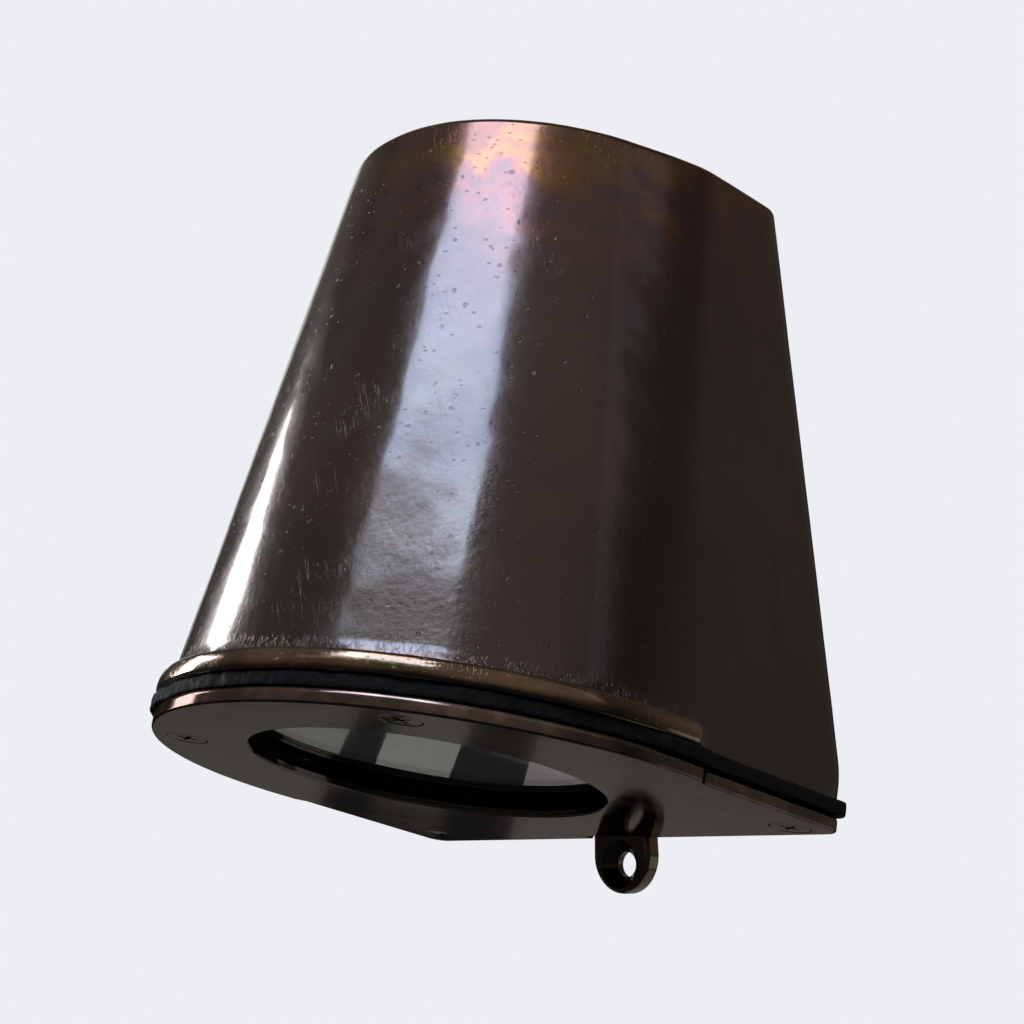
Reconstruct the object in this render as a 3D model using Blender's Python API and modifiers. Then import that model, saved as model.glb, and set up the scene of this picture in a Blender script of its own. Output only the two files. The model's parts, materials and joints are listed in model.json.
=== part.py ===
"""Hooded wall downlight in cast bronze: a tapered hood that stands flat on the wall, closed below by a
bronze cover plate with a round glass, and lit by a GU10 lamp inside.

Two frames are used. The wall frame is the world: the wall is the plane y = 0, the lamp stands in front of
it at negative y, and +Z is up the wall. The cover frame is tilted about X by COVER_TILT: its z axis is the
normal of the cover plate, its origin lies under the centre of the plate's front arc, on the plate's
underside. Pieces modelled in the cover frame are children of the empty named cover_axis.
"""

import math

import bmesh
import bpy
from mathutils import Matrix, Vector

MM = 0.001
GAP = 0.3 * MM  # play between pieces that touch

# Frames
COVER_TILT = math.radians(12.0)  # the light leans out from the wall by this much
WALL_Y = 53.2 * MM  # where the wall plane meets the plate's underside, in the cover frame
ORIGIN_HEIGHT = 61.0 * MM  # height of the wall origin above the cover frame's origin

# Flange outline shared by the plate, the gasket and the foot of the hood
FLANGE_RADIUS = 65.0 * MM
FLAT_HALF_WIDTH = 63.5 * MM
FLANGE_BACK = 49.7 * MM
FLANGE_CORNER = 3.6 * MM
STEP_ANGLE = math.radians(4.5)  # how far the front arc runs past the widest point
STEP_LENGTH = 3.0 * MM

# Cover plate and gasket
PLATE_THICKNESS = 3.4 * MM
GASKET_BOTTOM = PLATE_THICKNESS + GAP
GASKET_TOP = 6.1 * MM
GASKET_OVERHANG = 0.9 * MM
GASKET_BAND = 10.5 * MM
OPENING_RADIUS = 37.6 * MM
OPENING_Y = -8.5 * MM
COVER_SCREWS = ((35.3 * MM, -45.5 * MM), (54.7 * MM, 43.4 * MM))

# Hood
HOOD_BOTTOM = GASKET_TOP + GAP
HOOD_TOP = 133.2 * MM
FOOT_LEVEL = 11.3 * MM  # level at which the foot sizes below are taken
FOOT_RADIUS = 62.65 * MM
FOOT_FLAT = 62.9 * MM
CROWN_RADIUS = 44.8 * MM
CROWN_CENTRE = -1.3 * MM
CROWN_FLAT = 47.8 * MM
BLEND_ANGLE = math.radians(20.0)
FLAT_START = 3.0 * MM
HOOD_CORNER = 5.0 * MM
HOOD_WALL = 3.8 * MM
BACK_WALL = 5.0 * MM
CROWN_WALL = 4.0 * MM
CROWN_ROUNDING = 1.6 * MM
BEAD_RADIUS = 65.6 * MM
BEAD_HEIGHT = 4.4 * MM

# Wall lugs
LUG_HALF_WIDTH = 8.6 * MM
LUG_THICKNESS = 4.3 * MM
LUG_HOLE_RADIUS = 2.8 * MM
LUG_SINK_RADIUS = 5.4 * MM
LOWER_LUG_Z = -75.0 * MM  # centre of the lower lug's round end
LOWER_HOLE_Z = -77.1 * MM
UPPER_LUG_Z = 71.6 * MM
UPPER_HOLE_Z = 73.6 * MM

# Glass and what holds it
GLASS_RADIUS = 43.0 * MM
GLASS_BOTTOM = 3.6 * MM
GLASS_TOP = 7.6 * MM
LENS_LIP = 1.6 * MM  # thickness of the plate's lip under the glass
REBATE_RADIUS = 44.0 * MM
LENS_SEAL_INNER = 38.6 * MM
CONE_FLANGE_TOP = 8.7 * MM
CONE_TOP = 30.0 * MM
CONE_TOP_RADIUS = 28.0 * MM
CLAMP_BOTTOM = CONE_FLANGE_TOP + GAP
CLAMP_TOP = CLAMP_BOTTOM + 2.2 * MM
CLAMP_OUTER = 44.6 * MM
EAR_CIRCLE = 47.5 * MM
EAR_RADIUS = 4.0 * MM
EAR_ANGLES = tuple(math.radians(a) for a in (40.0, 140.0, 200.0, 340.0))
PILLAR_RADIUS = 3.0 * MM

# Lamp and its holder, on the axis of the opening
LAMP_FRONT = 32.0 * MM
LAMP_BASE = 86.0 * MM
LAMP_RADIUS = 25.0 * MM
PIN_SPACING = 5.0 * MM  # from the axis to each pin
PIN_NECK_RADIUS = 1.5 * MM
PIN_HEAD_RADIUS = 2.5 * MM
LAMP_TWIST = math.radians(20.0)
HOLDER_RADIUS = 14.0 * MM
HOLDER_BOTTOM = LAMP_BASE + 0.4 * MM
HOLDER_TOP = 104.0 * MM

# Bracket and wiring
BRACKET_THICKNESS = 2.0 * MM
BRACKET_HALF_WIDTH = 13.0 * MM
BRACKET_LEVEL = HOLDER_TOP + GAP
BRACKET_FOOT_Z = -4.0 * MM  # lower end of the bracket's wall leg, wall frame
PAD_HEIGHT = 3.0 * MM
BRACKET_SCREW_Z = (2.0 * MM, 32.0 * MM)
ENTRY_Z = -28.0 * MM
ENTRY_RADIUS = 6.5 * MM
EARTH_X = 24.0 * MM
EARTH_Z = -14.0 * MM


# ---------------------------------------------------------------- helpers

for old in list(bpy.data.objects):
    bpy.data.objects.remove(old, do_unlink=True)

parts = bpy.data.collections.new("wall_downlight")
cutters = bpy.data.collections.new("cutters")
for collection in (parts, cutters):
    bpy.context.scene.collection.children.link(collection)


def material(name, colour, roughness, metallic=0.0, transmission=0.0):
    made = bpy.data.materials.new(name)
    made.use_nodes = True
    shader = made.node_tree.nodes["Principled BSDF"]
    shader.inputs["Base Color"].default_value = (*colour, 1.0)
    shader.inputs["Roughness"].default_value = roughness
    shader.inputs["Metallic"].default_value = metallic
    shader.inputs["Transmission Weight"].default_value = transmission
    made.diffuse_color = (*colour, 1.0)
    return made


BRONZE = material("patinated_bronze", (0.085, 0.052, 0.036), 0.28, 1.0)
WORN_BRONZE = material("satin_bronze", (0.16, 0.11, 0.075), 0.3, 1.0)
RUBBER = material("black_rubber", (0.012, 0.012, 0.012), 0.85)
GLASS = material("clear_glass", (0.9, 0.95, 0.93), 0.03, 0.0, 1.0)
BLACK_PAINT = material("black_paint", (0.01, 0.01, 0.01), 0.5)
STEEL = material("zinc_steel", (0.55, 0.55, 0.56), 0.35, 1.0)
CERAMIC = material("white_ceramic", (0.8, 0.79, 0.75), 0.4)
WHITE_PLASTIC = material("white_plastic", (0.75, 0.75, 0.73), 0.4)
BRASS = material("brass", (0.75, 0.56, 0.26), 0.3, 1.0)
BROWN_PVC = material("brown_pvc", (0.16, 0.07, 0.03), 0.45)
BLUE_PVC = material("blue_pvc", (0.03, 0.1, 0.5), 0.45)
GREEN_PVC = material("green_yellow_pvc", (0.2, 0.5, 0.06), 0.45)


def empty(name, parent=None, location=(0, 0, 0), rotation=(0, 0, 0)):
    made = bpy.data.objects.new(name, None)
    made.parent = parent
    made.location = location
    made.rotation_euler = rotation
    parts.objects.link(made)
    return made


wall_frame = empty("wall_frame")
cover_axis = empty(
    "cover_axis",
    wall_frame,
    (0, -WALL_Y * math.cos(COVER_TILT), -ORIGIN_HEIGHT),
    (-COVER_TILT, 0, 0),
)
# The cover and the lamp each move on their own axis.
cover_slide = empty("cover_slide", cover_axis, (0, OPENING_Y, 0))
lamp_twist = empty("lamp_twist", cover_axis, (0, OPENING_Y, 0))


def smooth(mesh, angle=35.0):
    mesh.shade_smooth()
    mesh.set_sharp_from_angle(angle=math.radians(angle))
    return mesh


def place(name, mesh, look, parent=None, location=(0, 0, 0), rotation=(0, 0, 0)):
    """Makes the mesh a part, or a cutter when look is None. Locations are in the parent's frame."""
    made = bpy.data.objects.new(name, mesh)
    made.parent = parent
    made.location = location
    made.rotation_euler = rotation
    if look is None:
        cutters.objects.link(made)
        made.hide_render = True
        made.display_type = "WIRE"
    else:
        mesh.materials.append(look)
        parts.objects.link(made)
    return made


def cover_place(name, mesh, look, location=(0, 0, 0), parent=None):
    """Places a mesh whose points are in the cover frame, under the axis empty that it moves with."""
    parent = parent or cover_axis
    if parent is not cover_axis:
        location = Vector(location) - parent.location
    return place(name, mesh, look, parent, location)


def cut(target, cutter, operation="DIFFERENCE"):
    step = target.modifiers.new(f"{operation.lower()}_{cutter.name}", "BOOLEAN")
    step.operation = operation
    step.solver = "EXACT"
    step.object = cutter
    return step


def bevel(target, width, segments=1, angle=40.0):
    step = target.modifiers.new("edges", "BEVEL")
    step.width = width
    step.segments = segments
    step.limit_method = "ANGLE"
    step.angle_limit = math.radians(angle)
    step.use_clamp_overlap = True
    return step


def disc(radius, height, sides=32, top_radius=None):
    """A cylinder or cone frustum standing on z = 0."""
    mesh = bpy.data.meshes.new("disc")
    work = bmesh.new()
    bmesh.ops.create_cone(
        work,
        cap_ends=True,
        segments=sides,
        radius1=radius,
        radius2=radius if top_radius is None else top_radius,
        depth=height,
    )
    bmesh.ops.translate(work, verts=work.verts, vec=(0, 0, height / 2))
    work.to_mesh(mesh)
    work.free()
    return smooth(mesh)


def box(size_x, size_y, size_z):
    """A box centred on the origin."""
    mesh = bpy.data.meshes.new("box")
    work = bmesh.new()
    bmesh.ops.create_cube(work, size=1.0)
    bmesh.ops.scale(work, verts=work.verts, vec=(size_x, size_y, size_z))
    work.to_mesh(mesh)
    work.free()
    return mesh


def at(x, y, z):
    return Matrix.Translation((x, y, z))


def circle(radius, sides, centre=(0.0, 0.0)):
    step = 2 * math.pi / sides
    return [
        (centre[0] + radius * math.cos(i * step), centre[1] + radius * math.sin(i * step))
        for i in range(sides)
    ]


def arc(centre, radius, start, end, count):
    """count + 1 points along an arc, both ends included."""
    step = (end - start) / count
    return [
        (
            centre[0] + radius * math.cos(start + i * step),
            centre[1] + radius * math.sin(start + i * step),
        )
        for i in range(count + 1)
    ]


def sheet_mesh(loops, thickness):
    """A flat sheet from z = 0 up: the first loop is the outline and the others are holes."""
    curve = bpy.data.curves.new("outline", "CURVE")
    curve.dimensions = "2D"
    curve.fill_mode = "BOTH"
    curve.extrude = thickness / 2
    for loop in loops:
        spline = curve.splines.new("POLY")
        spline.points.add(len(loop) - 1)
        for point, (x, y) in zip(spline.points, loop):
            point.co = (x, y, 0, 1)
        spline.use_cyclic_u = True
    holder = bpy.data.objects.new("outline", curve)
    cutters.objects.link(holder)
    bpy.context.view_layer.update()
    graph = bpy.context.evaluated_depsgraph_get()
    mesh = bpy.data.meshes.new_from_object(holder.evaluated_get(graph))
    bpy.data.objects.remove(holder, do_unlink=True)
    work = bmesh.new()
    work.from_mesh(mesh)
    bmesh.ops.remove_doubles(work, verts=work.verts, dist=1e-6)
    bmesh.ops.recalc_face_normals(work, faces=work.faces)
    bmesh.ops.translate(work, verts=work.verts, vec=(0, 0, thickness / 2))
    work.to_mesh(mesh)
    work.free()
    mesh.materials.clear()
    return smooth(mesh)


def turned(name, profile, look, parent, location, steps=48, ring=False, rotation=(0, 0, 0)):
    """A solid turned about its own z axis. The profile holds (radius, z) from top to bottom."""
    mesh = bpy.data.meshes.new(name)
    count = len(profile)
    edges = [(i, i + 1) for i in range(count - 1)]
    if ring:
        edges.append((count - 1, 0))
    mesh.from_pydata([(r, 0, z) for r, z in profile], edges, [])
    made = place(name, mesh, look, parent, location, rotation)
    spin = made.modifiers.new("turn", "SCREW")
    spin.steps = steps
    spin.render_steps = steps
    spin.use_merge_vertices = True
    spin.merge_threshold = 1e-5
    spin.use_smooth_shade = True
    return made


def loft(sections):
    """A closed solid through rings of the same number of points, with a flat cap at each end."""
    work = bmesh.new()
    rings = [[work.verts.new(point) for point in ring] for ring in sections]
    count = len(rings[0])
    for lower, upper in zip(rings, rings[1:]):
        for i in range(count):
            j = (i + 1) % count
            work.faces.new((lower[i], lower[j], upper[j], upper[i]))
    work.faces.new(rings[0])
    work.faces.new(rings[-1])
    bmesh.ops.recalc_face_normals(work, faces=work.faces)
    mesh = bpy.data.meshes.new("loft")
    work.to_mesh(mesh)
    work.free()
    return smooth(mesh)


def tube(name, points, radius, look):
    """A wire through points of the cover frame, rounded off by a smooth curve."""
    fine = []
    padded = [points[0], *points, points[-1]]
    for a, b, c, d in zip(padded, padded[1:], padded[2:], padded[3:]):
        for k in range(3):
            t = k / 3
            fine.append(
                [
                    0.5
                    * (
                        2 * b[i]
                        + (c[i] - a[i]) * t
                        + (2 * a[i] - 5 * b[i] + 4 * c[i] - d[i]) * t * t
                        + (3 * b[i] - a[i] - 3 * c[i] + d[i]) * t**3
                    )
                    for i in range(3)
                ]
            )
    fine.append(list(points[-1]))
    curve = bpy.data.curves.new(name, "CURVE")
    curve.dimensions = "3D"
    curve.bevel_depth = radius
    curve.bevel_resolution = 2
    curve.use_fill_caps = True
    spline = curve.splines.new("POLY")
    spline.points.add(len(fine) - 1)
    for point, place_at in zip(spline.points, fine):
        point.co = (*place_at, 1)
    made = bpy.data.objects.new(name, curve)
    made.parent = cover_axis
    curve.materials.append(look)
    parts.objects.link(made)
    return made


def wall_y(z):
    """The wall plane in the cover frame."""
    return WALL_Y - z * math.tan(COVER_TILT)


def from_wall(x, y, z):
    """A point of the wall frame, in the cover frame."""
    depth = y + WALL_Y * math.cos(COVER_TILT)
    rise = z + ORIGIN_HEIGHT
    cos_tilt = math.cos(COVER_TILT)
    sin_tilt = math.sin(COVER_TILT)
    return (x, depth * cos_tilt - rise * sin_tilt, depth * sin_tilt + rise * cos_tilt)


# ---------------------------------------------------------------- hood


def hood_ring(z, inset=0.0, back_inset=None):
    """The hood's outline at a level: round front, flat sides, flat back with round corners."""
    along = (z - FOOT_LEVEL) / (HOOD_TOP - FOOT_LEVEL)
    radius = FOOT_RADIUS + (CROWN_RADIUS - FOOT_RADIUS) * along - inset
    centre = CROWN_CENTRE * along
    flat = FOOT_FLAT + (CROWN_FLAT - FOOT_FLAT) * along - inset
    back = wall_y(z) - (inset if back_inset is None else back_inset)
    corner = max(HOOD_CORNER - inset, 1.5 * MM)
    half = [(flat, back - corner), (flat, (back - corner + FLAT_START) / 2)]
    # The flat runs into the front arc along a smooth curve.
    end = (radius * math.cos(BLEND_ANGLE), centre - radius * math.sin(BLEND_ANGLE))
    reach = (FLAT_START - end[1]) / 3
    knots = (
        (flat, FLAT_START),
        (flat, FLAT_START - reach),
        (end[0] + reach * math.sin(BLEND_ANGLE), end[1] + reach * math.cos(BLEND_ANGLE)),
        end,
    )
    for i in range(4):
        t = i / 4
        weights = ((1 - t) ** 3, 3 * t * (1 - t) ** 2, 3 * t * t * (1 - t), t**3)
        half.append(tuple(sum(w * k[axis] for w, k in zip(weights, knots)) for axis in (0, 1)))
    half += arc((0, centre), radius, -BLEND_ANGLE, -math.pi / 2, 14)
    round_corner = arc((flat - corner, back - corner), corner, math.pi / 2, 0, 4)[:-1]
    right = round_corner + half
    left = [(-x, y) for x, y in right[-2::-1]]
    return [(x, y, z) for x, y in right + left]


def hood_body():
    levels = [(HOOD_BOTTOM, 0.0), (FOOT_LEVEL, 0.0)]
    levels += [(FOOT_LEVEL + (HOOD_TOP - FOOT_LEVEL) * k / 4, 0.0) for k in (1, 2, 3)]
    for step in range(3):
        turn = math.pi / 2 * step / 2
        drop = CROWN_ROUNDING * (1 - math.sin(turn))
        inset = CROWN_ROUNDING * (1 - math.cos(turn))
        levels.append((HOOD_TOP - drop, inset))
    return loft([hood_ring(z, inset, inset * 0.3) for z, inset in levels])


def hood_cavity():
    """The hollow of the hood, which runs out below it."""
    bottom = HOOD_BOTTOM - 4 * MM
    top = HOOD_TOP - CROWN_WALL
    middle = (bottom + top) / 2
    back = BACK_WALL / math.cos(COVER_TILT)
    rings = [hood_ring(z, HOOD_WALL, back) for z in (bottom, middle, top)]
    cavity = cover_place("hood_cavity", loft(rings), None)
    # Screw bosses and pads stay solid, so the cavity leaves them out.
    for index, (x, y) in enumerate(cover_screw_spots()):
        boss = disc(5.2 * MM, 20 * MM, 16)
        cut(cavity, cover_place(f"boss_{index}", boss, None, (x, y, HOOD_BOTTOM - 6 * MM)))
    for index, (x, z) in enumerate([(0, z) for z in BRACKET_SCREW_Z] + [(EARTH_X, EARTH_Z)]):
        pad = disc(5.5 * MM, BACK_WALL + PAD_HEIGHT, 16)
        outward = (math.pi / 2, 0, 0)
        cut(cavity, place(f"pad_{index}", pad, None, wall_frame, (x, 0, z), outward))
    return cavity


def hood_bead():
    """The rounded band round the foot of the hood's front."""
    height = BEAD_HEIGHT / 2
    middle = HOOD_BOTTOM + height + 0.1 * MM
    inner = FOOT_RADIUS - 2 * MM
    sweep = math.pi + 2 * STEP_ANGLE
    count = 32
    sections = []
    for i in range(count + 1):
        angle = math.pi - sweep / count * i + STEP_ANGLE
        # Both ends are rounded off.
        from_end = min(i, count - i)
        fullness = (0.45, 0.85)[from_end] if from_end < 2 else 1.0
        outer = FOOT_RADIUS + (BEAD_RADIUS - FOOT_RADIUS) * fullness
        bulge = outer - FOOT_RADIUS + 0.4 * MM
        ring = [(inner, middle - height), (inner, middle + height)]
        for k in range(5):
            turn = math.pi / 2 - math.pi * k / 4
            ring.append((outer - bulge + bulge * math.cos(turn), middle + height * math.sin(turn)))
        sections.append([(-r * math.cos(angle), -r * math.sin(angle), z) for r, z in ring])
    return loft(sections)


def lug_mesh(length):
    """A lug that hangs down from z = 0 by its length, with a round end, in a standing sheet."""
    ending = arc((0, -length), LUG_HALF_WIDTH, math.pi, 2 * math.pi, 14)
    return sheet_mesh([[(LUG_HALF_WIDTH, 6 * MM), (-LUG_HALF_WIDTH, 6 * MM), *ending]], LUG_THICKNESS)


def make_hood():
    hood = cover_place("hood", hood_body(), BRONZE)
    cut(hood, hood_cavity())
    cut(hood, cover_place("bead", hood_bead(), None), "UNION")
    lower_root = -62.0 * MM
    upper_root = 60.0 * MM
    for name, root, end, hole, turn in (
        ("lower", lower_root, LOWER_LUG_Z, LOWER_HOLE_Z, 0.0),
        ("upper", upper_root, UPPER_LUG_Z, UPPER_HOLE_Z, math.pi),
    ):
        # The sheet's z axis becomes -y, so that the lug stands on the wall plane.
        mesh = lug_mesh(abs(end - root))
        standing = (math.pi / 2, turn, 0)
        lug = place(f"{name}_lug", mesh, None, wall_frame, (0, -0.1 * MM, root), standing)
        bevel(lug, 1.1 * MM)
        cut(hood, lug, "UNION")
        front = (0, -LUG_THICKNESS - 0.6 * MM, hole)
        outward = (math.pi / 2, 0, 0)
        drill = disc(LUG_HOLE_RADIUS, 8 * MM, 20)
        cut(hood, place(f"{name}_drill", drill, None, wall_frame, (0, 2 * MM, hole), outward))
        depth = LUG_SINK_RADIUS - LUG_HOLE_RADIUS + 0.6 * MM
        sink = disc(LUG_SINK_RADIUS + 0.6 * MM, depth, 20, LUG_HOLE_RADIUS)
        cut(hood, place(f"{name}_sink", sink, None, wall_frame, front, (-math.pi / 2, 0, 0)))
    for index, (x, y) in enumerate(cover_screw_spots()):
        tapping = disc(2.3 * MM, 15 * MM, 12)
        cut(hood, cover_place(f"tapping_{index}", tapping, None, (x, y, HOOD_BOTTOM - 2 * MM)))
    tappings = [(0, z) for z in BRACKET_SCREW_Z] + [(EARTH_X, EARTH_Z)]
    for index, (x, z) in enumerate(tappings):
        tapping = disc(2.3 * MM, 7.5 * MM, 12)
        spot = (x, -(BACK_WALL + PAD_HEIGHT) - 1 * MM, z)
        inward = (-math.pi / 2, 0, 0)
        cut(hood, place(f"back_tapping_{index}", tapping, None, wall_frame, spot, inward))
    entry = disc(ENTRY_RADIUS, 12 * MM, 24)
    cut(hood, place("entry", entry, None, wall_frame, (0, 3 * MM, ENTRY_Z), (math.pi / 2, 0, 0)))
    return hood


# ---------------------------------------------------------------- cover


def flange_outline(grow, notch):
    """Outline of the plate and gasket: round front, a small step to the flat sides, notched for the lug."""
    radius = FLANGE_RADIUS + grow
    flat = FLAT_HALF_WIDTH + grow
    back = FLANGE_BACK + grow
    side = LUG_HALF_WIDTH + 0.5 * MM
    corner = arc((flat - FLANGE_CORNER, back - FLANGE_CORNER), FLANGE_CORNER, math.pi / 2, 0, 4)
    step_y = radius * math.sin(STEP_ANGLE)
    tip_x = radius * math.cos(STEP_ANGLE)
    drop = tip_x - flat
    step = [
        (flat, step_y + STEP_LENGTH),
        (flat + 0.25 * drop, step_y + 0.55 * STEP_LENGTH),
        (flat + 0.8 * drop, step_y + 0.25 * STEP_LENGTH),
    ]
    front = arc((0, 0), radius, STEP_ANGLE, -math.pi / 2, 20)
    right = [(side, notch), (side, back)] + corner + step + front
    left = [(-x, y) for x, y in right[-2::-1]]
    return right + left


def cover_screw_spots():
    return [(side * x, y) for x, y in COVER_SCREWS for side in (-1, 1)]


def cover_screw_holes(radius):
    return [circle(radius, 14, spot) for spot in cover_screw_spots()]


def ear_spots():
    return [
        (EAR_CIRCLE * math.cos(a), OPENING_Y + EAR_CIRCLE * math.sin(a))
        for a in EAR_ANGLES
    ]


def make_cover_plate():
    opening = circle(OPENING_RADIUS, 48, (0, OPENING_Y))
    loops = [flange_outline(0.0, 47.5 * MM), opening] + cover_screw_holes(2.3 * MM)
    sheet = sheet_mesh(loops, PLATE_THICKNESS)
    plate = cover_place("cover_plate", sheet, WORN_BRONZE, (0, 0, 0), cover_slide)
    rebate = disc(REBATE_RADIUS, PLATE_THICKNESS, 48)
    cut(plate, cover_place("rebate", rebate, None, (0, OPENING_Y, LENS_LIP)))
    for index, (x, y) in enumerate(cover_screw_spots()):
        sink = disc(5.0 * MM, 2.6 * MM, 14, 2.4 * MM)
        cut(plate, cover_place(f"countersink_{index}", sink, None, (x, y, -0.45 * MM)))
    for index, (x, y) in enumerate(ear_spots()):
        foot = PLATE_THICKNESS - 1 * MM
        pillar = disc(PILLAR_RADIUS, CLAMP_BOTTOM - GAP - foot, 12)
        cut(plate, cover_place(f"pillar_{index}", pillar, None, (x, y, foot)), "UNION")
        tapping = disc(1.8 * MM, 9 * MM, 10)
        spot = (x, y, PLATE_THICKNESS)
        cut(plate, cover_place(f"pillar_tapping_{index}", tapping, None, spot))
    return plate


def make_cover_gasket():
    inner = FLANGE_RADIUS - GASKET_BAND
    flat = FLAT_HALF_WIDTH - GASKET_BAND + 0.8 * MM
    back = FLANGE_BACK - 9.5 * MM
    turn = 6 * MM
    window = arc((0, 0), inner, 0, -math.pi, 28)
    window += arc((turn - flat, back - turn), turn, math.pi, math.pi / 2, 6)
    window += arc((flat - turn, back - turn), turn, math.pi / 2, 0, 6)
    # The window goes round the inside of each rear screw.
    loops = [flange_outline(GASKET_OVERHANG, 46.6 * MM), window] + cover_screw_holes(2.4 * MM)
    mesh = sheet_mesh(loops, GASKET_TOP - GASKET_BOTTOM)
    return cover_place("cover_gasket", mesh, RUBBER, (0, 0, GASKET_BOTTOM), cover_slide)


def make_cover_screws():
    """Four M4 countersunk screws with cross recesses, flush with the plate's underside."""
    head = 4.25 * MM
    shank = 1.95 * MM
    rim = 0.15 * MM
    length = 16.5 * MM
    profile = [
        (0, length),
        (shank * 0.6, length),
        (shank, length - 1 * MM),
        (shank, rim + (head - shank) * 0.8),
        (head, rim),
        (head, 0),
        (0, 0),
    ]
    for index, (x, y) in enumerate(cover_screw_spots()):
        spot = (x, y - OPENING_Y, 0)
        screw = turned(f"cover_screw_{index + 1}", profile, WORN_BRONZE, cover_slide, spot, 16)
        for name, turn in (("a", 0.3 + index), ("b", 0.3 + index + math.pi / 2)):
            blade = cover_place(f"recess_{index}{name}", box(5.0 * MM, 0.9 * MM, 2.0 * MM), None, (x, y, 0))
            blade.rotation_euler = (0, 0, turn)
            cut(screw, blade)


def make_lens():
    seal = [
        (LENS_SEAL_INNER, GLASS_BOTTOM - GAP),
        (GLASS_RADIUS + 0.6 * MM, GLASS_BOTTOM - GAP),
        (GLASS_RADIUS + 0.6 * MM, LENS_LIP + GAP),
        (LENS_SEAL_INNER, LENS_LIP + GAP),
    ]
    spot = (0, 0, 0)
    turned("lens_gasket", seal, RUBBER, cover_slide, spot, ring=True)
    edge = 0.5 * MM
    glass = [
        (0, GLASS_TOP),
        (GLASS_RADIUS - edge, GLASS_TOP),
        (GLASS_RADIUS, GLASS_TOP - edge),
        (GLASS_RADIUS, GLASS_BOTTOM + edge),
        (GLASS_RADIUS - edge, GLASS_BOTTOM),
        (0, GLASS_BOTTOM),
    ]
    turned("lens_glass", glass, GLASS, cover_slide, spot)
    sheet = 0.8 * MM
    flange = GLASS_TOP + GAP
    cone = [
        (CONE_TOP_RADIUS, CONE_TOP),
        (CONE_TOP_RADIUS + sheet, CONE_TOP),
        (39.6 * MM, CONE_FLANGE_TOP),
        (GLASS_RADIUS, CONE_FLANGE_TOP),
        (GLASS_RADIUS, flange),
        (38.8 * MM, flange),
    ]
    turned("glare_cone", cone, BLACK_PAINT, cover_slide, spot, ring=True)


def clamp_outline():
    """The clamp ring's outer edge: a circle with a round ear at each screw."""
    points = []
    sides = 80
    for i in range(sides):
        angle = 2 * math.pi * i / sides
        radius = CLAMP_OUTER
        for ear in EAR_ANGLES:
            away = EAR_CIRCLE * math.sin(angle - ear)
            if math.cos(angle - ear) > 0 and abs(away) < EAR_RADIUS:
                reach = EAR_CIRCLE * math.cos(angle - ear) + math.sqrt(EAR_RADIUS**2 - away**2)
                radius = max(radius, reach)
        points.append((radius * math.cos(angle), radius * math.sin(angle)))
    return points


def make_clamp():
    ears = [(EAR_CIRCLE * math.cos(a), EAR_CIRCLE * math.sin(a)) for a in EAR_ANGLES]
    loops = [clamp_outline(), circle(40.6 * MM, 48)] + [circle(1.9 * MM, 10, spot) for spot in ears]
    mesh = sheet_mesh(loops, CLAMP_TOP - CLAMP_BOTTOM)
    cover_place("lens_clamp_ring", mesh, STEEL, (0, OPENING_Y, CLAMP_BOTTOM), cover_slide)
    for index, (x, y) in enumerate(ears):
        spot = (x, y, CLAMP_TOP + GAP)
        pan_screw(f"clamp_screw_{index + 1}", (2.8 * MM, 1.8 * MM, 1.45 * MM, 6.0 * MM), cover_slide, spot)


def pan_screw(name, sizes, parent, location, rotation=(0, 0, 0), look=STEEL):
    """A pan-head screw whose head sits on z = 0 and whose shank points down."""
    head, head_height, shank, length = sizes
    profile = [
        (0, head_height),
        (head * 0.75, head_height),
        (head, head_height * 0.5),
        (head, 0),
        (shank, 0),
        (shank, 0.6 * MM - length),
        (shank * 0.6, -length),
        (0, -length),
    ]
    turned(name, profile, look, parent, location, 12, rotation=rotation)


# ---------------------------------------------------------------- lamp


def make_lamp():
    spot = (0, 0, 0)
    front = LAMP_FRONT
    shell = [
        (0, LAMP_BASE),
        (11.5 * MM, LAMP_BASE),
        (12.0 * MM, LAMP_BASE - 0.5 * MM),
        (12.0 * MM, LAMP_BASE - 9 * MM),
        (14.5 * MM, LAMP_BASE - 12 * MM),
        (15.5 * MM, LAMP_BASE - 18 * MM),
        (20.0 * MM, LAMP_BASE - 30 * MM),
        (23.4 * MM, front + 12 * MM),
        (24.6 * MM, front + 5 * MM),
        (LAMP_RADIUS, front + 4 * MM),
        (LAMP_RADIUS, front),
        (22.6 * MM, front),
        (22.6 * MM, front + 2.6 * MM),
        (0, front + 2.6 * MM),
    ]
    turned("lamp_body", shell, WHITE_PLASTIC, lamp_twist, spot, 32)
    face = [
        (0, front + 2.3 * MM),
        (22.2 * MM, front + 2.3 * MM),
        (22.2 * MM, front + 0.6 * MM),
        (21.6 * MM, front + 0.2 * MM),
        (0, front - 0.2 * MM),
    ]
    turned("lamp_face", face, GLASS, lamp_twist, spot, 32)
    pin = [
        (0, 7.0 * MM),
        (PIN_HEAD_RADIUS * 0.7, 7.0 * MM),
        (PIN_HEAD_RADIUS, 6.6 * MM),
        (PIN_HEAD_RADIUS, 4.3 * MM),
        (PIN_NECK_RADIUS, 4.0 * MM),
        (PIN_NECK_RADIUS, 0),
        (0, 0),
    ]
    for index, side in enumerate((-1, 1)):
        spot = (side * PIN_SPACING, 0, LAMP_BASE + GAP)
        turned(f"lamp_pin_{index + 1}", pin, BRASS, lamp_twist, spot, 12)


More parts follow.
